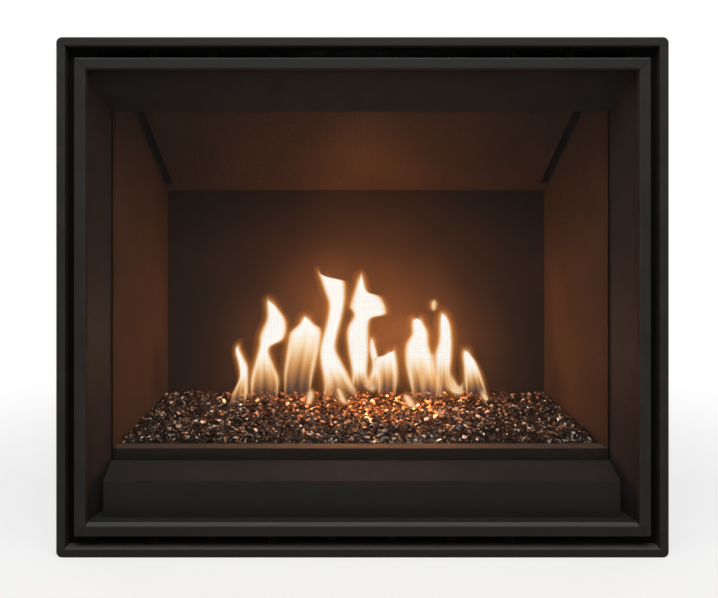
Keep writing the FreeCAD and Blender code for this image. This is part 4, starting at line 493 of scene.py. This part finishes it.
# Tones of paint that more than one look shares, each dark and light.
SATIN_TONES = ((0.018, 0.0170, 0.0162), (0.025, 0.0237, 0.0225))
SOOT_TONES = ((0.020, 0.018, 0.0165), (0.030, 0.0265, 0.024))
BLACK_TONES = (grey(0.001), grey(0.002))
# Near-black painted shade, for the gap behind the rim and what is seen in it.
SHADE_BLACK_TONES = (grey(0.003), grey(0.005))

LOOKS = {
    "satin_black": paint("satin_black_paint", SATIN_TONES, rough=(0.32, 0.44), grain=1500.0, mottle=30.0,
                         specular=0.08),
    "soot_black": paint("firebox_paint", SOOT_TONES, rough=(0.5, 0.66), grain=900.0, mottle=12.0, specular=0.08),
    "galvanised_steel": spangled("galvanised_sheet", ((0.36, 0.37, 0.38), (0.50, 0.51, 0.52)), scale=75.0,
                                 rough=(0.34, 0.5), metallic=0.85),
    "aluminised_steel": spangled("aluminised_sheet", ((0.50, 0.50, 0.49), (0.58, 0.58, 0.56)), scale=260.0,
                                 rough=(0.32, 0.46), metallic=0.9),
    "stainless_steel": metal("brushed_stainless", ((0.42, 0.41, 0.40), (0.58, 0.57, 0.55)), scale=260.0,
                             rough=(0.24, 0.38), relief=0.12, stretch=(0.05, 1, 1)),
    "zinc_plate": metal("zinc_plating", ((0.48, 0.48, 0.45), (0.62, 0.62, 0.60)), scale=400.0, rough=(0.28, 0.42),
                        relief=0.08),
    "brass": metal("turned_brass", ((0.46, 0.31, 0.10), (0.63, 0.45, 0.17)), scale=320.0, rough=(0.25, 0.42),
                   relief=0.1, stretch=(0.2, 1, 1)),
    "cast_aluminium": metal("cast_aluminium_skin", ((0.36, 0.36, 0.37), (0.48, 0.48, 0.48)), scale=700.0,
                            rough=(0.42, 0.6), relief=0.35),
    "black_plastic": moulded("black_knob_plastic", (grey(0.012), grey(0.018))),
    "red_plastic": moulded("red_button_plastic", ((0.32, 0.012, 0.010), (0.42, 0.020, 0.016))),
    "yellow_paint": moulded("yellow_lever_paint", ((0.62, 0.38, 0.02), (0.72, 0.46, 0.03))),
    "ceramic_glass": clear_glass("fireproof_glass"),
    "crushed_glass": chip_glass("bronze_glass", ((0.006, 0.0055, 0.005), (0.056, 0.038, 0.026)), metallic=0.0,
                                roughness=0.07, specular=0.8),
    "rope_fibre": rope("braided_rope"),
}
COPPER_CHIP = chip_glass("copper_glass", ((0.06, 0.044, 0.033), (0.85, 0.68, 0.55)), metallic=0.6, roughness=0.1)
# Pale chips: pale glass coloured near-white with a slight blue cast, so that under the fire they also stand for
# glints, as painted glints.
PALE_GLINT_CHIP = chip_glass("pale_glass_painted_glint", ((0.72, 0.80, 0.82), (0.92, 0.97, 0.97)), metallic=0.0, roughness=0.12,
                       specular=1.0)
FIRE = fire_gas("fire_gas")
# Near-black paint as painted shade, on parts that stand in the dark gap and cabinet.
PAINTED_SHADE_BLACK = paint("painted_shade_black_paint", SHADE_BLACK_TONES, rough=(0.6, 0.75), grain=1500.0, mottle=30.0, specular=0.03)
# The face flange: near-black painted shade on its upright faces in the gap behind the rim, and the satin paint's
# own tone on faces that look up, such as the shelf under the opening.
RECESS_SHELF_WITH_SHADE = two_tone("recess_shelf_painted_shade", looking_up, SHADE_BLACK_TONES, (grey(0.020), grey(0.027)), grain=1500.0)
# The media tray: its faces that look up, such as the lip, are painted about three times lighter and greyer than
# its upright faces, as painted top light.
TRAY_COAT_WITH_TOP_LIGHT = two_tone("tray_coat_painted_top_light", looking_up, ((0.020, 0.017, 0.0145), (0.028, 0.024, 0.020)),
                     ((0.041, 0.043, 0.043), (0.098, 0.100, 0.097)), grain=600.0)
BAFFLE_PAINT = paint("baffle_paint", ((0.015, 0.0132, 0.012), (0.0225, 0.0198, 0.018)), rough=(0.5, 0.66),
                     grain=900.0, mottle=12.0, specular=0.08)
# Rails of the rim and screen: the satin tones, painted about three times lighter on faces and rounded edges that
# look up, as a painted highlight of the lamp above.
RAIL_PAINT_WITH_HIGHLIGHT = two_tone("rail_paint_painted_highlight", looking_up, SATIN_TONES, (grey(0.055), grey(0.070)), grain=1500.0)
# Side liners: soot towards the baffle, with painted shade above the baffle and a painted shadow strip along the
# front edge.
SOOT_AND_SHADE_LINER = two_tone("soot_and_painted_shade_liner", blackened, ((0.027, 0.0243, 0.0220), (0.0395, 0.035, 0.0317)),
                        BLACK_TONES, grain=12.0)
SMOKED_BACK = two_tone("smoked_back", smoked, SOOT_TONES, BLACK_TONES, grain=12.0)

# Pieces whose finish differs from the rest of their slot.
OWN_LOOKS = {
    # Painted highlight on the rails' upward faces.
    "rim_top": RAIL_PAINT_WITH_HIGHLIGHT,
    "rim_bottom": RAIL_PAINT_WITH_HIGHLIGHT,
    "screen_rail_top": RAIL_PAINT_WITH_HIGHLIGHT,
    "screen_rail_bottom": RAIL_PAINT_WITH_HIGHLIGHT,
    # Painted shade on the flange's upright faces.
    "face_flange": RECESS_SHELF_WITH_SHADE,
    # Painted shade: the cabinet's base and the screen clips are near-black for the dark inside the cabinet.
    "casing_base": PAINTED_SHADE_BLACK,
    "screen_clips": PAINTED_SHADE_BLACK,
    # Painted shade: the firebox wrap and roof get the dark firebox paint instead of the finish of their slot, so
    # that they stay dark where they show through the gaps.
    "firebox_wrap": LOOKS["soot_black"],
    "firebox_roof": LOOKS["soot_black"],
    # Painted top light on the tray's upward faces.
    "media_tray": TRAY_COAT_WITH_TOP_LIGHT,
    "heat_baffle": BAFFLE_PAINT,
    "liner_back": SMOKED_BACK,
    # Soot, with painted shade above the baffle and a painted shadow along the front edge.
    "liner_left": SOOT_AND_SHADE_LINER,
    "liner_right": SOOT_AND_SHADE_LINER,
}

for node_name, node in nodes.items():
    for entry in node.material_slots:
        entry.material = OWN_LOOKS.get(node_name, LOOKS[entry.material.name])


def new_piece(name, points, faces, looks, face_looks=None, smooth=False):
    """A mesh object from plain points and faces."""
    mesh = bpy.data.meshes.new(name)
    mesh.from_pydata([tuple(point) for point in points], [], [tuple(face) for face in faces])
    for look in looks:
        mesh.materials.append(look)
    if face_looks is not None:
        mesh.polygons.foreach_set("material_index", face_looks)
    mesh.polygons.foreach_set("use_smooth", [smooth] * len(mesh.polygons))
    mesh.update()
    piece = bpy.data.objects.new(name, mesh)
    bpy.context.scene.collection.objects.link(piece)
    return piece


BOX_FACES = np.array([(0, 1, 3, 2), (4, 6, 7, 5), (0, 4, 5, 1), (2, 3, 7, 6), (0, 2, 6, 4), (1, 5, 7, 3)])


def bars(corners):
    """Points and faces of many straight square bars, from the lowest and highest corner of each."""
    points = []
    faces = []
    for corner_pair in corners:
        faces.extend(BOX_FACES + len(points))
        xs, ys, zs = zip(*corner_pair)
        points.extend((x, y, z) for x in xs for y in ys for z in zs)
    return points, faces


def wire_lines(low, high):
    """Middles of wires about WIRE_PITCH apart, with the outer ones just inside the limits."""
    count = int((high - low) / WIRE_PITCH)
    return [low + WIRE_THICK + index * (high - low - 2 * WIRE_THICK) / count for index in range(count + 1)]


def wire_screen():
    """The screen's fabric: upright wires in front of level ones, touching where they cross."""
    low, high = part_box("screen_mesh")
    half = WIRE_THICK / 2
    middle_y = low.y + WIRE_THICK
    upright = [((x - half, low.y, low.z), (x + half, middle_y, high.z)) for x in wire_lines(low.x, high.x)]
    level = [((low.x, middle_y, z - half), (high.x, middle_y + WIRE_THICK, z + half))
             for z in wire_lines(low.z, high.z)]
    piece = new_piece("woven_wire_screen", *bars(upright + level), [LOOKS["satin_black"]])
    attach(piece, "screen")
    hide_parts("screen_mesh")


def chip_shape():
    """One splinter of glass about one unit across: the hull of a few random points."""
    shape = bmesh.new()
    for _ in range(rng.randint(*CHIP_CORNERS)):
        point = Vector([rng.gauss(0, 1) for _ in range(3)]).normalized() * rng.uniform(*CHIP_RADIUS)
        point.z *= rng.uniform(*CHIP_FLATNESS)
        shape.verts.new(point)
    hull = bmesh.ops.convex_hull(shape, input=shape.verts)
    loose = [item for item in hull["geom_interior"] if isinstance(item, bmesh.types.BMVert)]
    bmesh.ops.delete(shape, geom=loose, context="VERTS")
    bmesh.ops.recalc_face_normals(shape, faces=shape.faces)
    shape.verts.index_update()
    points = np.array([vertex.co[:] for vertex in shape.verts])
    faces = [[vertex.index for vertex in face.verts] for face in shape.faces]
    shape.free()
    return points, faces


def random_turn():
    """A random turn about the upright and a random tilt, as a 3 by 3 array."""
    turn = Matrix.Rotation(rng.uniform(0, math.tau), 3, "Z")
    tilt = Matrix.Rotation(rng.gauss(0, CHIP_TILT), 3, "X") @ Matrix.Rotation(rng.gauss(0, CHIP_TILT), 3, "Y")
    return np.array(turn @ tilt)


def chip_spots():
    """(place, size) of each splinter: a shaken grid over the tapered bed, laid on its top."""
    bed = nodes["crushed_glass_bed"]
    low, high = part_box("crushed_glass_bed")
    half_front = high.x
    half_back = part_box("liner_back")[1].x
    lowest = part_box("media_tray")[1].z - CHIP_DROP
    spots = []
    y = low.y
    while y < high.y:
        half = half_front + (half_back - half_front) * (y - low.y) / (high.y - low.y)
        x = -half
        while x < half:
            size = rng.uniform(CHIP_SMALL, CHIP_LARGE)
            place = [middle + rng.uniform(-CHIP_SHAKE, CHIP_SHAKE) * CHIP_PITCH for middle in (x, y)]
            inside = abs(place[0]) < half - size / 2 and low.y + size / 2 < place[1] < high.y - size / 2
            hit, where, _, _ = bed.ray_cast(Vector((*place, 1.0)), Vector((0, 0, -1)))
            if inside and hit and where.z > lowest:
                spots.append(((where.x, where.y, where.z + rng.uniform(*CHIP_LIFT) * size), size))
            x += CHIP_PITCH
        y += CHIP_PITCH
    return spots


def glass_media():
    """Crushed glass heaped on the bed, as one piece."""
    spots = chip_spots()
    shapes = [chip_shape() for _ in range(CHIP_SHAPES)]
    points = []
    faces = []
    looks = []
    for place, size in spots:
        shape_points, shape_faces = rng.choice(shapes)
        draw = rng.random()
        kind = 2 if draw < PALE_SHARE else 1 if draw < PALE_SHARE + COPPER_SHARE else 0
        first = len(points)
        points.extend(shape_points @ random_turn().T * size + np.array(place))
        faces.extend([first + index for index in face] for face in shape_faces)
        looks.extend([kind] * len(shape_faces))
    glass = [LOOKS["crushed_glass"], COPPER_CHIP, PALE_GLINT_CHIP]
    piece = new_piece("crushed_glass_chips", points, faces, glass, looks)
    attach(piece, "cabinet")


def smooth_path(knots, count):
    """Points on a rounded curve through the knots, evenly spread over them."""
    knots = np.array(knots, dtype=float)
    padded = np.vstack([2 * knots[0] - knots[1], knots, 2 * knots[-1] - knots[-2]])
    path = []
    for step in np.linspace(0, len(knots) - 1 - 1e-6, count):
        start = int(step)
        t = step - start
        a, b, c, d = padded[start:start + 4]
        path.append(0.5 * (2 * b + (c - a) * t + (2 * a - 5 * b + 4 * c - d) * t ** 2
                           + (3 * b - a - 3 * c + d) * t ** 3))
    return np.array(path)


def smoothstep(low, high, value):
    """0 below low, 1 above high, and a soft rise between."""
    t = min(1.0, max(0.0, (value - low) / (high - low)))
    return t * t * (3.0 - 2.0 * t)


def gas_core(rise, side, streak):
    """Colour and cover of the hot gas: clear and brown low in the middle, white above and at the edges."""
    spread = FLAME_EDGE_HEAT * (2.0 * abs(side) ** 3 - 1.0) + FLAME_STREAK_HEAT * streak
    heat = rise + spread * min(1.0, max(0.0, FLAME_FOOT_CALM * rise)) * max(0.0, 1.0 - FLAME_TIP_CALM * rise)
    shares = [share for share, _, _ in FLAME_CORE]
    values = np.array([(*colour, cover) for _, colour, cover in FLAME_CORE])
    return tuple(np.interp(heat, shares, values[:, channel]) for channel in range(4))


def skin_faces(first):
    """Faces of one closed skin of a flame, whose points start at first."""
    faces = []
    last = FLAME_RINGS - 1
    for ring in range(last):
        here = first + ring * FLAME_SIDES
        above = here + FLAME_SIDES
        for side in range(FLAME_SIDES):
            after = (side + 1) % FLAME_SIDES
            faces.append((here + side, here + after, above + after, above + side))
    faces.append([first + side for side in reversed(range(FLAME_SIDES))])
    faces.append([first + last * FLAME_SIDES + side for side in range(FLAME_SIDES)])
    return faces


def flame(name, depth, clear, stations):
    """A tongue of fire: a thin lens of white-hot gas inside wider skins of orange glow."""
    path = smooth_path(stations, FLAME_RINGS) * MM
    base = path[:, 1::2].min()
    bridge = clear == 0
    sway = rng.uniform(0, math.tau)
    points = []
    faces = []
    colours = []
    for spread, colour, cover in ((FLAME_INSET, None, None),) + FLAME_SKINS:
        faces.extend(skin_faces(len(points)))
        for index, row in enumerate(path):
            part = index / (FLAME_RINGS - 1)
            left = row[:2]
            right = row[2:]
            middle = (left + right) / 2
            half = max(np.linalg.norm(right - left) / 2, FLAME_LEAST_HALF)
            across = (right - left) / (2 * half)
            inner = half / (half + spread)
            blunt = math.sqrt(max(FLAME_BLUNT_LEAST, 1.0 - smoothstep(FLAME_BLUNT_FROM, 1.0, part)))
            half = max(half + spread, FLAME_LEAST_SKIN) * blunt
            lift = spread * smoothstep(FLAME_LIFT_FROM, 1.0, part)
            lean = 0.0 if bridge else FLAME_LEAN * (1.0 - part) ** 2
            y = front_y + depth * MM - lean + FLAME_SWAY * math.sin(sway + FLAME_SWAY_ANGLE * part)
            ends = smoothstep(0.0, BRIDGE_FOOT if bridge else FLAME_FOOT, part)
            if bridge:
                ends *= smoothstep(0.0, BRIDGE_FOOT, 1.0 - part)
            for side in range(FLAME_SIDES):
                angle = math.tau * side / FLAME_SIDES
                x, z = middle + across * half * math.cos(angle)
                points.append((x, y + half * FLAME_FLATNESS * math.sin(angle), z + lift))
                rise = BRIDGE_HEAT if bridge else (z - base) / (clear * MM)
                if colour is None:
                    streak = math.sin(FLAME_STREAKS * math.cos(angle) + sway)
                    *light, thick = gas_core(rise, 1.0 if bridge else math.cos(angle), streak)
                    colours.append((*light, thick * ends))
                else:
                    edge = smoothstep(SKIN_EDGE_FROM * inner, inner, abs(math.cos(angle)))
                    colours.append((*colour, cover * edge * ends * smoothstep(*SKIN_RISE, rise)))
    piece = new_piece(name, points, faces, [FIRE], smooth=True)
    gas = piece.data.color_attributes.new("gas", "FLOAT_COLOR", "POINT")
    gas.data.foreach_set("color", np.array(colours).ravel())
    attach(piece, "cabinet")


def seen_directly(tree):
    """1 for what the camera sees, straight or through gloss and glass, and 0 for light that falls on things."""
    path = tree.nodes.new("ShaderNodeLightPath")
    total = path.outputs["Is Camera Ray"]
    for extra in ("Is Glossy Ray", "Is Transmission Ray"):
        total = math_node(tree, "MAXIMUM", total, path.outputs[extra])
    return total


def studio_world():
    """A weak white that lights the object, and a full white that is only seen."""
    world = bpy.data.worlds.new("studio")
    world.use_nodes = True
    tree = world.node_tree
    tree.nodes.clear()
    whites = []
    for strength in (WORLD_STRENGTH, 1.0):
        white = tree.nodes.new("ShaderNodeBackground")
        white.inputs["Color"].default_value = (1, 1, 1, 1)
        white.inputs["Strength"].default_value = strength
        whites.append(white)
    end_in_mix(tree, tree.nodes.new("ShaderNodeOutputWorld"), seen_directly(tree), *whites)
    bpy.context.scene.world = world


def studio_floor():
    """A pale floor that fades to white away from the object and keeps its shadow."""
    look = Look("pale_floor")
    look.tree.nodes.remove(look.shader)
    matt = look.add("ShaderNodeBsdfDiffuse", Color=FLOOR_COLOUR)
    glow = look.add("ShaderNodeEmission", Strength=1.0)
    far = look.add("ShaderNodeVectorMath")
    far.operation = "LENGTH"
    look.tree.links.new(look.place, far.inputs[0])
    fade = look.add("ShaderNodeMapRange", Value=far.outputs["Value"], From_Min=FLOOR_FADE_START,
                    From_Max=FLOOR_FADE_END, To_Min=FLOOR_NEAR_WHITE)
    fade.interpolation_type = "SMOOTHSTEP"
    share = math_node(look.tree, "MULTIPLY", seen_directly(look.tree), fade.outputs["Result"])
    end_in_mix(look.tree, look.tree.nodes["Material Output"], share, matt, glow)
    corners = [(FLOOR_HALF * x, FLOOR_HALF * y, cad_box[0].z) for x, y in ((-1, -1), (1, -1), (1, 1), (-1, 1))]
    floor = new_piece("studio_floor", corners, [(0, 1, 2, 3)], [look.material])


def lamp(name, kind, place, energy, colour, **settings):
    """A lamp at a place, which the camera doesn't see."""
    data = bpy.data.lights.new(name, kind)
    data.energy = energy
    data.color = colour
    for key, value in settings.items():
        setattr(data, key, value)
    item = bpy.data.objects.new(name, data)
    item.location = place
    item.visible_camera = False
    bpy.context.scene.collection.objects.link(item)
    return item


def studio_lights():
    """Soft studio lamps and the light of the fire."""
    for name, place, power, colour, width in STUDIO_LAMPS:
        soft = lamp(name, "AREA", place, power, colour, size=width)
        soft.rotation_euler = (Vector(LAMP_AIM) - Vector(place)).to_track_quat("-Z", "Y").to_euler()
    for index, (x, depth, z, power) in enumerate(FIRE_LAMPS):
        fire = lamp(f"fire_lamp_{index}", "POINT", (x * MM, front_y + depth * MM, z * MM), power, FIRE_COLOUR,
                    shadow_soft_size=FIRE_LAMP_RADIUS)
        fire.visible_glossy = False


def photo_camera():
    """The photograph's camera."""
    data = bpy.data.cameras.new("photo_camera")
    data.sensor_width = SENSOR
    data.lens = SENSOR * FOCAL_PIXELS / PHOTO_WIDTH
    data.shift_x = (PHOTO_WIDTH / 2 - VANISHING_X) / PHOTO_WIDTH
    data.shift_y = (VANISHING_Y - PHOTO_HEIGHT / 2) / PHOTO_WIDTH
    item = bpy.data.objects.new("photo_camera", data)
    item.location = (EYE_SIDE, front_y - EYE_DISTANCE, EYE_HEIGHT)
    item.rotation_euler = (math.pi / 2, 0, 0)
    bpy.context.scene.collection.objects.link(item)
    bpy.context.scene.camera = item


wire_screen()
glass_media()
for flame_name, measures in FLAMES.items():
    flame(flame_name, *measures)
studio_world()
studio_floor()
studio_lights()
photo_camera()
bpy.context.scene.view_settings.view_transform = "Standard"
bpy.context.scene.cycles.transparent_max_bounces = TRANSPARENT_BOUNCES
